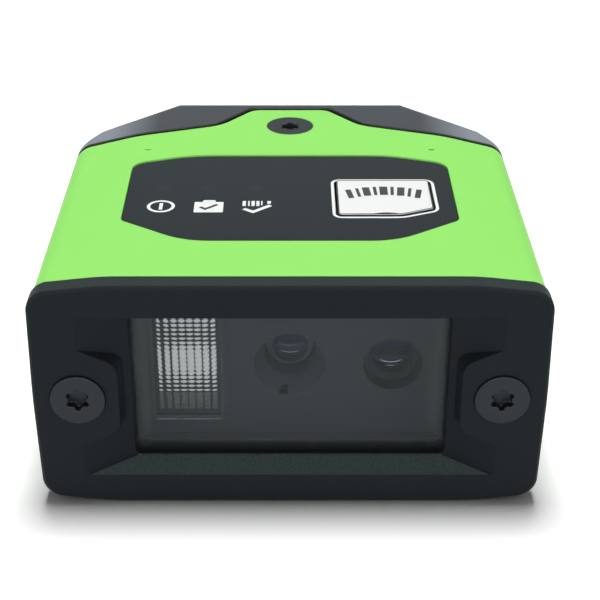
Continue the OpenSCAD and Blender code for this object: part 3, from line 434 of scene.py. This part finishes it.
def array_with_painted_glints(sizes):
    """Clear lens with painted glints: each small lens gets a painted light spot, which also glows.

    A spot is the ellipse (lean / wide) ** 2 + (down / tall) ** 2 < 1 in its cell, where wide
    shrinks to the sides and tall changes by row, so spots merge in the middle rows. Spots lean
    outwards at their tops. Below them the lens is dim.
    """
    finish = Finish("array_lens_painted_glints")
    lens = box_middle("illumination_lens")
    x = (finish.axis("X") - lens.x) / sizes.grid_width + 0.5
    z = 0.5 - (finish.axis("Z") - lens.z - sizes.grid_rise) / sizes.grid_height
    across = (x * sizes.columns).part() - 0.5
    down = (z * sizes.rows).part() - 0.5
    inside = x.band(0.5, 0.5, 0.002) * z.band(0.5, 0.5, 0.002)
    row = (z * sizes.rows - down) / sizes.rows
    side = 2 * ((x * sizes.columns - across) / sizes.columns) - 1
    tall, bright = finish.level(row, SPOT_HEIGHTS), finish.level(row, SPOT_LIGHT)
    wide = 0.49 - 0.26 * side * side + 0.05 * side
    u, v = (across + 0.28 * side * down) / wide, down / tall
    spot = ((1 - (u * u + v * v).root()) * 3 + 0.3).clamp() * bright * inside
    light = spot * (0.75 + 0.5 * finish.noise(0.3 * MM)).clamp()
    # Painted glints: the light spots are painted into the base colour and glow by emission, though the lens
    # is no lamp.
    finish.put(
        Base_Color=finish.blend(light, srgb(84, 90, 93), srgb(236, 240, 241)),
        Roughness=0.25 + 0.1 * light,
        Emission_Color=finish.blend(light, (0, 0, 0, 1), srgb(236, 240, 241)),
        Emission_Strength=0.5,
        Specular_IOR_Level=0.2,
    )
    return finish.material


def glint_finish():
    """Thin line of broken light."""
    finish = Finish("edge_glint")
    broken = (finish.noise(0.9 * MM, 2.0) * 4 - 1.4).clamp()
    finish.put(
        Base_Color=srgb(200, 205, 207),
        Roughness=0.3,
        Alpha=0.3 + 0.65 * broken,
        Emission_Color=srgb(200, 205, 207),
        Emission_Strength=0.35,
        Specular_IOR_Level=0.2,
    )
    return finish.material


def panel_finish(colour):
    """Satin film, a shade lighter towards the rear, with three faint windows over the light pipes."""
    finish = Finish("panel_film")
    low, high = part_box("light_pipes")
    radius, pitch = (high.y - low.y) / 2, (high.x - low.x - high.y + low.y) / 2
    x = (finish.axis("X") - low.x - radius) / pitch
    y = (finish.axis("Y") - (low.y + high.y) / 2) / radius
    nearest = ((x + 0.5).part() - 0.5) * (pitch / radius)
    windows = (nearest * nearest + y * y).root().band(0, 0.7, 0.4) * x.band(1, 1.4, 0.1)
    front, rear = (corner.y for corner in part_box("control_panel"))
    depth = ((finish.axis("Y") - front) / (rear - front)).clamp()
    film = finish.blend(depth, shade(colour, 0.92), shade(colour, 1.1))
    tone = finish.blend(windows * 0.5, film, shade(colour, 1.35))
    finish.put(Base_Color=tone, Specular_IOR_Level=0.1)
    return finish.grain(0.1 * MM, 0.55, 0.003 * MM, 0.05 * MM, 0.1).material


def window_finish():
    """Smoky clear window with a slightly lighter band a little way in from its edges."""
    finish = Finish("window_clear")
    low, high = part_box("front_window")
    window, half = box_middle("front_window"), (high - low) / 2 / MM
    x, z = (finish.axis("X") - window.x) / MM, (finish.axis("Z") - window.z) / MM
    sides = x.size().band(half.x - 2.4, 0.4, 0.4) + z.band(2.4 - half.z, 0.4, 0.4)
    finish.put(
        Base_Color=finish.blend(sides.clamp(), srgb(70, 76, 78), srgb(86, 92, 94)),
        Roughness=0.1 + 0.02 * finish.noise(3 * MM),
        Alpha=0.3,
        Specular_IOR_Level=0.12,
    )
    return finish.material


# Coating tints and painted reflections down the faces of the coated lenses
CAMERA_TINTS_AND_REFLECTIONS = (
    (0.0, srgb(60, 60, 86)),
    (0.42, srgb(64, 64, 92)),
    (0.5, srgb(84, 84, 116)),
    (1.0, srgb(70, 74, 84)),
)
AIMER_TINTS_AND_REFLECTIONS = (
    (0.0, srgb(62, 66, 92)),
    (0.3, srgb(60, 66, 90)),
    (0.45, srgb(50, 54, 58)),
    (0.6, srgb(50, 54, 58)),
    (0.64, srgb(48, 84, 108)),
    (0.74, srgb(48, 84, 108)),
    (0.78, srgb(50, 56, 66)),
    (1.0, srgb(48, 52, 56)),
)


def lens_with_painted_reflections(name, node, stops, glints):
    """Coated lens with painted reflections: its tint and painted reflections change down its face, and thin
    bright lines cross it as painted glints that glow.

    A line lies where down + 0.8 * across ** 2 is near its place, within its reach of the middle.
    """
    finish = Finish(name)
    low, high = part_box(node)
    down = (high.z - finish.axis("Z")) / (high.z - low.z)
    across = (finish.axis("X") - (low.x + high.x) / 2) / (high.x - low.x)
    bow = down + across * across * 0.8
    line = sum(
        strength * bow.band(place, 0.006, 0.012) * across.band(0, reach, 0.1)
        for place, reach, strength in glints
    ).clamp()
    # Painted reflections: the tint stops and the glowing lines stand in for what the lens reflects.
    finish.put(
        Base_Color=finish.blend(line, finish.ramp(down, stops), srgb(225, 228, 235)),
        Roughness=0.12 + 0.05 * finish.noise(2 * MM),
        Emission_Color=finish.blend(line, (0, 0, 0, 1), srgb(225, 228, 235)),
        Emission_Strength=0.6,
        Specular_IOR_Level=0.12,
    )
    return finish.material


# Surfaces


def grid_faces(rows, columns, closed):
    """Quads of a grid of points, row by row; closed joins the last column to the first."""
    last = columns if closed else columns - 1
    r, c = np.meshgrid(np.arange(rows - 1), np.arange(last), indexing="ij")
    n = (c + 1) % columns
    this, below = r * columns, (r + 1) * columns
    return np.stack([this + c, this + n, below + n, below + c], -1).reshape(-1, 4)


def joined(parts):
    """One set of points and faces from several."""
    points, faces, start = [], [], 0
    for p, f in parts:
        points.append(p)
        faces.append(f + start)
        start += len(p)
    return np.concatenate(points), np.concatenate(faces)


def sheet(name, points, faces, material, smooth=False):
    """A mesh object at the origin."""
    mesh = bpy.data.meshes.new(name)
    mesh.from_pydata(points.tolist(), [], faces.tolist())
    mesh.polygons.foreach_set("use_smooth", np.full(len(faces), smooth))
    mesh.update()
    mesh.materials.append(material)
    made = bpy.data.objects.new(name, mesh)
    bpy.context.scene.collection.objects.link(made)
    return made


def piece(name, points, faces, material, body):
    """A mesh object at the origin that rides on a body."""
    made = sheet(name, points, faces, material)
    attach(made, body)
    return made


def ribbon(path, width, z, closed=False):
    """Flat strip along a path: each point goes half the width to both sides along the mitred normal."""
    path = np.asarray(path, float)
    if closed:
        before, after = np.roll(path, 1, 0), np.roll(path, -1, 0)
    else:
        before = np.vstack([2 * path[:1] - path[1:2], path[:-1]])
        after = np.vstack([path[1:], 2 * path[-1:] - path[-2:-1]])
    a, b = path - before, after - path
    a /= np.linalg.norm(a, axis=1, keepdims=True)
    b /= np.linalg.norm(b, axis=1, keepdims=True)
    n1 = np.stack([a[:, 1], -a[:, 0]], 1)
    n2 = np.stack([b[:, 1], -b[:, 0]], 1)
    normal = (n1 + n2) / (1 + np.sum(n1 * n2, 1, keepdims=True))
    sides = np.stack([path + normal * width / 2, path - normal * width / 2])
    points = np.concatenate([sides.reshape(-1, 2), np.full((2 * len(path), 1), z)], 1)
    return points, grid_faces(2, len(path), closed)


def patch(outline, z):
    """Flat patch inside a convex outline: rings that shrink from the outline to its middle."""
    outline = np.asarray(outline, float)
    middle = outline.mean(0)
    rings = np.array([1.0, 0.5, 0.02])[:, None, None]
    flat = (middle + rings * (outline - middle)).reshape(-1, 2)
    points = np.concatenate([flat, np.full((len(flat), 1), z)], 1)
    return points, grid_faces(3, len(outline), True)


def rounded(corners, radii, steps=8):
    """Outline whose corners are arcs: centre plus radius times (cos, sin) of a turning angle."""
    corners = np.asarray(corners, float)
    before = np.roll(corners, 1, 0) - corners
    after = np.roll(corners, -1, 0) - corners
    before /= np.linalg.norm(before, axis=1, keepdims=True)
    after /= np.linalg.norm(after, axis=1, keepdims=True)
    half = np.arccos(np.clip(np.sum(before * after, 1), -1, 1)) / 2
    radii = np.asarray(radii, float)
    inward = before + after
    inward /= np.linalg.norm(inward, axis=1, keepdims=True)
    centre = corners + inward * (radii / np.sin(half))[:, None]
    start = corners + before * (radii / np.tan(half))[:, None] - centre
    first = np.arctan2(start[:, 1], start[:, 0])
    t = np.linspace(0, 1, steps)
    angle = first[:, None] + (np.pi - 2 * half)[:, None] * t
    arc = np.stack([np.cos(angle), np.sin(angle)], -1) * radii[:, None, None]
    return (centre[:, None] + arc).reshape(-1, 2)


# Printed marks


FIRST_ICON = np.array([-15.56 * MM, FRONT + 20.62 * MM])


def ink(name, colour, spread=0.02):
    """Thin print."""
    return grained(name, colour, 0.5, 0.2 * MM, 0.001 * MM, 0.01 * MM, spread)


def icon_place(index, sizes):
    """Middle of a status icon on the panel, in metres."""
    return FIRST_ICON + np.array([index * sizes.icon_pitch, 0.0])


def circle(middle, radius, steps=48):
    """Points round a circle: middle plus radius times (cos, sin)."""
    t = np.linspace(0, 2 * np.pi, steps, endpoint=False)
    return middle + radius * np.stack([np.cos(t), np.sin(t)], 1)


def power_icon(middle, w, z):
    """A ring with a short upright bar in it."""
    bar = middle + np.array([[0.0, -0.27], [0.0, 0.27]]) * w
    return [ribbon(circle(middle, 0.44 * w), 0.12 * w, z, True), ribbon(bar, 0.13 * w, z)]


def case_icon(middle, w, z):
    """A rounded case with a grip on top."""
    body = middle + np.array([[-0.52, -0.5], [0.52, -0.5], [0.52, 0.36], [-0.52, 0.36]]) * w
    grip = middle + np.array([[-0.25, 0.34], [0.25, 0.34], [0.2, 0.52], [-0.2, 0.52]]) * w
    r = np.full(4, 0.05 * w)
    return [patch(rounded(body, r), z), patch(rounded(grip, r), z)]


def case_tick(middle, w, z):
    """The dark tick over the case."""
    path = middle + np.array([[-0.3, -0.06], [-0.12, -0.24], [0.3, 0.14]]) * w
    return [ribbon(path, 0.12 * w, z)]


def bars_icon(middle, w, z):
    """A row of upright bars over a tick."""
    bars = (-0.45, 0.12), (-0.28, 0.06), (-0.13, 0.12), (0.04, 0.11), (0.18, 0.05), (0.44, 0.13)
    parts = []
    for x, wide in bars:
        ends = np.array([[x, 0.02 + 0.5 * max(0.0, x - 0.04)], [x, 0.44]])
        parts.append(ribbon(middle + ends * w, wide * w, z))
    tick = np.array([[-0.46, -0.2], [-0.12, -0.46], [0.5, 0.08]])
    parts.append(ribbon(middle + tick * w, 0.17 * w, z))
    return parts


def key_outline(grow):
    """Corners of the key's top, grown outwards by a distance."""
    left, right, front, back = KEY_LEFT - grow, KEY_RIGHT + grow, KEY_FRONT - grow, KEY_BACK + grow
    bend, cut = KEY_LEFT + 0.66 * (KEY_RIGHT - KEY_LEFT), KEY_FRONT + 1.7 * MM
    return [
        [left, front], [bend + 0.2 * grow, front], [right, cut - 0.8 * grow], [right, back], [left, back]
    ]


def key_dent_shade(z):
    """Painted shade of a dent: a shallow dark crescent at the key's front edge, deeper by (1 - t * t) over
    a straight edge.
    """
    t = np.linspace(-1, 1, 25)
    x = KEY_LEFT + (0.5 + 0.16 * t) * (KEY_RIGHT - KEY_LEFT)
    front = np.full_like(t, KEY_FRONT + 0.02 * MM)
    y = np.stack([front, front + 0.42 * MM * (1 - t * t) + 0.01 * MM])
    grid = np.stack([np.broadcast_to(x, y.shape), y, np.full_like(y, z)], -1)
    return grid.reshape(-1, 3), grid_faces(2, len(t), False)


def key_arch(z):
    """A row of plain bars on an arch, as a sign for reading a code."""
    middle_x, y = (KEY_LEFT + KEY_RIGHT) / 2, KEY_FRONT + 5.7 * MM
    parts = []
    for i, wide in enumerate([0.7, 0.4, 0.9, 0.4, 1.0, 0.4, 0.9, 0.4, 0.7]):
        t = (i - 4) / 4
        top = np.array([middle_x + t * 4.2 * MM, y + (1 - t * t) * 0.9 * MM])
        lean = np.array([t * 0.4 * MM, 2.4 * MM])
        parts.append(ribbon(np.stack([top - lean / 2, top + lean / 2]), wide * MM, z))
    return parts


# Operators


def finishes(colours, sizes):
    """The CAD nodes that take each finish."""
    plastic = bezel_with_painted_light(colours.bezel)
    paint = cover_with_painted_shade(colours.cover)
    slate = slate_with_painted_shade_and_sheen(colours.housing)
    film = panel_finish(colours.panel)
    white = key_with_painted_shade(colours.key)
    screw = brushed("screw_finish", colours.screw, 0.42, 0.75, 0.25 * MM)
    # Painted sheen: the cover screw is a lighter copy of the screws' colour, as if it reflected the bright
    # sky.
    cover_screw = brushed("cover_screw_painted_sheen", shade(colours.screw, 2.6), 0.42, 0.7, 0.25 * MM)
    rubber = grained("seal_rubber", srgb(17, 18, 19), 0.7, 0.2 * MM, 0.01 * MM, 0.1 * MM)
    chassis = chassis_with_painted_light(colours.chassis)
    black = grained("black_plastic", srgb(46, 49, 51), 0.5, 0.15 * MM, 0.004 * MM, 0.1 * MM)
    board = grained("board_mask", srgb(31, 107, 58), 0.4, 0.6 * MM, 0.006 * MM, 0.05 * MM)
    nickel = brushed("nickel_plate", srgb(186, 189, 191), 0.3, 1.0)
    brass = brushed("brass_turned", srgb(190, 156, 88), 0.32, 1.0)
    gold = brushed("gold_plate", srgb(222, 186, 104), 0.25, 1.0)
    cream = grained("led_cream", srgb(244, 233, 200), 0.4, 0.2 * MM, 0.004 * MM, 0.05 * MM)
    pad = grained("pad_soft", srgb(143, 163, 181), 0.8, 0.3 * MM, 0.02 * MM, 0.1 * MM)
    ribbon_film = grained("ribbon_film", srgb(232, 230, 222), 0.4, 0.3 * MM, 0.004 * MM, 0.05 * MM)
    barrel = grained("barrel_plastic", srgb(86, 92, 95), 0.5, 0.15 * MM, 0.004 * MM, 0.15 * MM, 0.03)
    window = window_finish()
    lens = clear("lens_clear", srgb(226, 232, 234), 0.85, 0.12)
    array = array_with_painted_glints(sizes)
    camera = lens_with_painted_reflections("camera_lens_painted_reflections", "lens_glass", CAMERA_TINTS_AND_REFLECTIONS, [(0.74, 0.2, 0.5), (0.5, 0.28, 0.15)])
    aimer = lens_with_painted_reflections("aimer_tint_painted_reflections", "aimer_lens", AIMER_TINTS_AND_REFLECTIONS, [(0.82, 0.2, 1.0), (0.95, 0.03, 0.7)])
    return {
        plastic: ["front_bezel"],
        paint: ["top_cover"],
        slate: ["main_housing"],
        film: ["control_panel"],
        white: ["trigger_key"],
        screw: ["front_screws"],
        cover_screw: ["cover_screw"],
        rubber: ["front_seal", "window_gasket", "cover_seal", "io_seal"],
        chassis: ["optical_chassis"],
        barrel: ["lens_barrel"],
        black: ["switch_base", "lens_holder", "aimer_body", "processor", "io_insert",
                "port_tongue", "image_sensor"],
        board: ["panel_board", "led_board", "sensor_board", "aimer_board", "main_board", "io_board"],
        nickel: ["io_shell", "io_nut", "port_shell", "panel_screws", "board_screws"],
        brass: ["mount_inserts", "aimer_emitter"],
        gold: ["io_pins"],
        cream: ["status_leds", "illumination_leds", "switch_plunger"],
        pad: ["heat_pad"],
        ribbon_film: ["panel_ribbon", "sensor_ribbon"],
        window: ["front_window"],
        lens: ["light_pipes"],
        array: ["illumination_lens"],
        camera: ["lens_glass"],
        aimer: ["aimer_lens"],
    }


class READER_OT_finishes(bpy.types.Operator):
    """Gives every CAD node its finish"""

    bl_idname = "reader.finishes"
    bl_label = "Finishes"

    def execute(self, context):
        done = set()
        taken = finishes(context.scene.reader_colours, context.scene.reader_sizes)
        for material, names in taken.items():
            for name in names:
                mesh = NODES[name].data
                mesh.materials.clear()
                mesh.materials.append(material)
                done.add(name)
        left = set(NODES) - done
        if left:
            raise RuntimeError("no finish for " + ", ".join(sorted(left)))
        return {"FINISHED"}


class READER_OT_panel_print(bpy.types.Operator):
    """Prints the status icons and the key's outline on the panel"""

    bl_idname = "reader.panel_print"
    bl_label = "Panel print"

    def execute(self, context):
        sizes, colours = context.scene.reader_sizes, context.scene.reader_colours
        z = PANEL_TOP + sizes.print_lift
        white, dark = ink("print_white", colours.print_white), ink("print_dark", colours.panel)
        offset = sizes.outline_gap + sizes.line / 2
        ring = rounded(key_outline(offset), np.array([1.0, 4.5, 1.2, 1.1, 1.0]) * MM, 10)
        power, case, bars = (icon_place(index, sizes) for index in range(3))
        parts = [ribbon(ring, sizes.line, z, True)]
        parts += power_icon(power, sizes.icon, z)
        parts += case_icon(case, sizes.icon, z)
        parts += bars_icon(bars, sizes.icon, z)
        made = piece("panel_print", *joined(parts), white, "body")
        marks = case_tick(case, sizes.icon, z + sizes.print_lift)
        tick = piece("case_tick", *joined(marks), dark, "body")
        return {"FINISHED"}


class READER_OT_array_frame(bpy.types.Operator):
    """Lays a lighter strip as painted light over the shaded gap round the illumination lens, and adds the
    glint below it
    """

    bl_idname = "reader.array_frame"
    bl_label = "Array frame"

    def execute(self, context):
        sizes, colours = context.scene.reader_sizes, context.scene.reader_colours
        lens, front = box_middle("illumination_lens"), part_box("illumination_lens")[0].y
        middle, y = np.array([lens.x, lens.z]), front - 0.03 * MM
        half = np.array([sizes.frame_width, sizes.frame_height]) / 2 + 0.08 * MM
        corners = middle + half * np.array([[-1, -1], [1, -1], [1, 1], [-1, 1]])
        # Painted light: a lighter copy of the chassis plastic, laid over the shade in the gap round the
        # lens.
        tone = shade(colours.chassis, 1.12)
        plain = grained("frame_painted_highlight", tone, 0.6, 0.1 * MM, 0.004 * MM, 0.05 * MM, 0.03)
        points, faces = ribbon(corners, 0.36 * MM, y, True)
        piece("array_frame", points[:, [0, 2, 1]], faces, plain, "body")
        ends = middle + np.array([[-0.95, 0], [0.95, 0]]) * half - np.array([0, half[1] + 0.45 * MM])
        points, faces = ribbon(ends, 0.09 * MM, y)
        piece("array_glint", points[:, [0, 2, 1]], faces, glint_finish(), "body")
        return {"FINISHED"}


class READER_OT_key_print(bpy.types.Operator):
    """Prints the arched bars on the key, and paints the shade of its dent and of the gap round its top edge
    """

    bl_idname = "reader.key_print"
    bl_label = "Key print"

    def execute(self, context):
        sizes, colours = context.scene.reader_sizes, context.scene.reader_colours
        dark = ink("key_ink_and_shade", colours.key_mark_and_shade, 0.1)
        z = KEY_HIGH.z + sizes.print_lift
        # Painted shade: a dark line just inside the key's top edge, as the shadow of the gap round it.
        gap_shade_path = rounded(key_outline(-0.08 * MM), np.array([0.4, 2.6, 0.5, 0.5, 0.4]) * MM)
        edge = ribbon(gap_shade_path, 0.16 * MM, z, True)
        made = piece("key_print", *joined(key_arch(z) + [key_dent_shade(z), edge]), dark, "trigger")
        return {"FINISHED"}


# Stage


# Floor in metres: front edge, start and radius of the bend, top of the wall, half width
FLOOR_FRONT, BEND_START, BEND_RADIUS, WALL_TOP, HALF_WIDTH = -1.2, 0.8, 0.4, 1.6, 2.0


def floor_points():
    """A floor that sweeps up into a backdrop: a flat run, a quarter arc and a wall, across the width."""
    run = np.linspace(FLOOR_FRONT, BEND_START, 20)
    arc = np.linspace(0, np.pi / 2, 24)[1:]
    wall = np.linspace(BEND_RADIUS + 0.1, WALL_TOP, 6)
    bend = BEND_START + BEND_RADIUS * np.sin(arc)
    y = np.concatenate([run, bend, np.full_like(wall, BEND_START + BEND_RADIUS)])
    z = np.concatenate([np.zeros_like(run), BEND_RADIUS * (1 - np.cos(arc)), wall])
    x = np.linspace(-HALF_WIDTH, HALF_WIDTH, 9)
    grid = np.stack(np.broadcast_arrays(x[None, :], y[:, None], z[:, None]), -1)
    return grid.reshape(-1, 3), grid_faces(len(y), len(x), False)


def floor_finish():
    """White floor: brighter for the camera and for reflections, with the shadow left in it.

    Beyond a quarter of a metre from the middle the camera sees it turn plain white.
    """
    finish = Finish("floor_white")
    tone = finish.noise(0.2, 2.0)
    finish.put(
        Base_Color=finish.blend(tone, (0.84, 0.84, 0.84, 1.0), (0.86, 0.86, 0.86, 1.0)),
        Roughness=0.9,
    )
    x, y = finish.axis("X"), finish.axis("Y")
    far = ((x * x + y * y).root() * 4 - 1).clamp() * finish.ray("Camera")
    white = finish.blend(far, (0, 0, 0, 1), (1, 1, 1, 1))
    glow = finish.node("ShaderNodeEmission", None, {"Color": white})
    extra = finish.node("ShaderNodeBsdfDiffuse", None, {"Color": (0.45, 0.45, 0.45, 1.0)})
    both = finish.node("ShaderNodeAddShader", None, {0: finish.shader.outputs[0], 1: extra.outputs[0]})
    both = finish.node("ShaderNodeAddShader", None, {0: both.outputs[0], 1: glow.outputs[0]})
    seen = finish.ray(*SEEN)
    mixed = finish.node(
        "ShaderNodeMixShader", None, {0: seen, 1: finish.shader.outputs[0], 2: both.outputs[0]}
    )
    finish.feed(finish.output.inputs["Surface"], mixed.outputs[0])
    return finish.material


def lamp(name, place, target, size, power):
    """A square soft light at a place, turned to a target."""
    data = bpy.data.lights.new(name, "AREA")
    data.size, data.energy = size, power
    made = bpy.data.objects.new(name, data)
    made.location = place
    turn = np.array(target) - np.array(place)
    made.rotation_euler = (
        math.atan2(math.hypot(turn[0], turn[1]), -turn[2]), 0, math.atan2(-turn[0], turn[1])
    )
    bpy.context.scene.collection.objects.link(made)
    return made


def light(floor):
    """The overhead lamp, and low lamps that leave the floor out, so that the shadow on it stays dark."""
    lamp(*TOP_LAMP)
    unlit = bpy.data.collections.new("unlit_by_low_lamps")
    unlit.objects.link(floor)
    unlit.collection_objects[0].light_linking.link_state = "EXCLUDE"
    for values in LOW_LAMPS:
        lamp(*values).light_linking.receiver_collection = unlit


def studio():
    """A dim world that is white where it is seen."""
    world = bpy.data.worlds.new("studio")
    world.use_nodes = True
    sky = Nodes(world.node_tree)
    dim, white = (
        sky.node("ShaderNodeBackground", None, {"Color": (1, 1, 1, 1), "Strength": strength})
        for strength in (0.12, 1.0)
    )
    mixed = sky.node(
        "ShaderNodeMixShader", None, {0: sky.ray(*SEEN), 1: dim.outputs[0], 2: white.outputs[0]}
    )
    sky.feed(world.node_tree.nodes["World Output"].inputs["Surface"], mixed.outputs[0])
    return world


def photo_camera():
    """The camera of the photograph."""
    data = bpy.data.cameras.new("photo_camera")
    data.sensor_width, data.lens = SENSOR_MM, SENSOR_MM * FOCAL_PIXELS / PHOTO_PIXELS
    data.shift_x = SHIFT_PIXELS / PHOTO_PIXELS
    data.clip_start, data.clip_end = 0.01, 10
    camera = bpy.data.objects.new("photo_camera", data)
    camera.location = (0, FRONT - CAMERA_BACK, CAMERA_UP)
    camera.rotation_euler = (math.radians(90 - CAMERA_PITCH), 0, 0)
    return camera


class READER_OT_stage(bpy.types.Operator):
    """Makes the white floor, the soft lights and the camera"""

    bl_idname = "reader.stage"
    bl_label = "Stage"

    def execute(self, context):
        scene = context.scene
        floor = sheet("floor", *floor_points(), floor_finish(), smooth=True)
        light(floor)
        scene.world = studio()
        scene.camera = photo_camera()
        scene.collection.objects.link(scene.camera)
        scene.view_settings.view_transform = "Standard"
        return {"FINISHED"}


class READER_PT_panel(bpy.types.Panel):
    """Sizes, colours and steps of the reader"""

    bl_idname = "READER_PT_panel"
    bl_label = "Barcode Reader"
    bl_space_type = "VIEW_3D"
    bl_region_type = "UI"
    bl_category = "Reader"

    def draw(self, context):
        for group in (context.scene.reader_sizes, context.scene.reader_colours):
            box = self.layout.box()
            for key in group.bl_rna.properties.keys():
                if key not in ("rna_type", "name"):
                    box.prop(group, key)
        for operator in OPERATORS:
            self.layout.operator(operator.bl_idname)


OPERATORS = (
    READER_OT_finishes,
    READER_OT_panel_print,
    READER_OT_array_frame,
    READER_OT_key_print,
    READER_OT_stage,
)
CLASSES = (ReaderColours, ReaderSizes, *OPERATORS, READER_PT_panel)


def register():
    for cls in CLASSES:
        bpy.utils.register_class(cls)
    bpy.types.Scene.reader_colours = bpy.props.PointerProperty(type=ReaderColours)
    bpy.types.Scene.reader_sizes = bpy.props.PointerProperty(type=ReaderSizes)


def unregister():
    del bpy.types.Scene.reader_sizes
    del bpy.types.Scene.reader_colours
    for cls in reversed(CLASSES):
        bpy.utils.unregister_class(cls)


def main():
    register()
    bpy.ops.reader.finishes()
    bpy.ops.reader.panel_print()
    bpy.ops.reader.array_frame()
    bpy.ops.reader.key_print()
    bpy.ops.reader.stage()


if __name__ == "__main__":
    main()
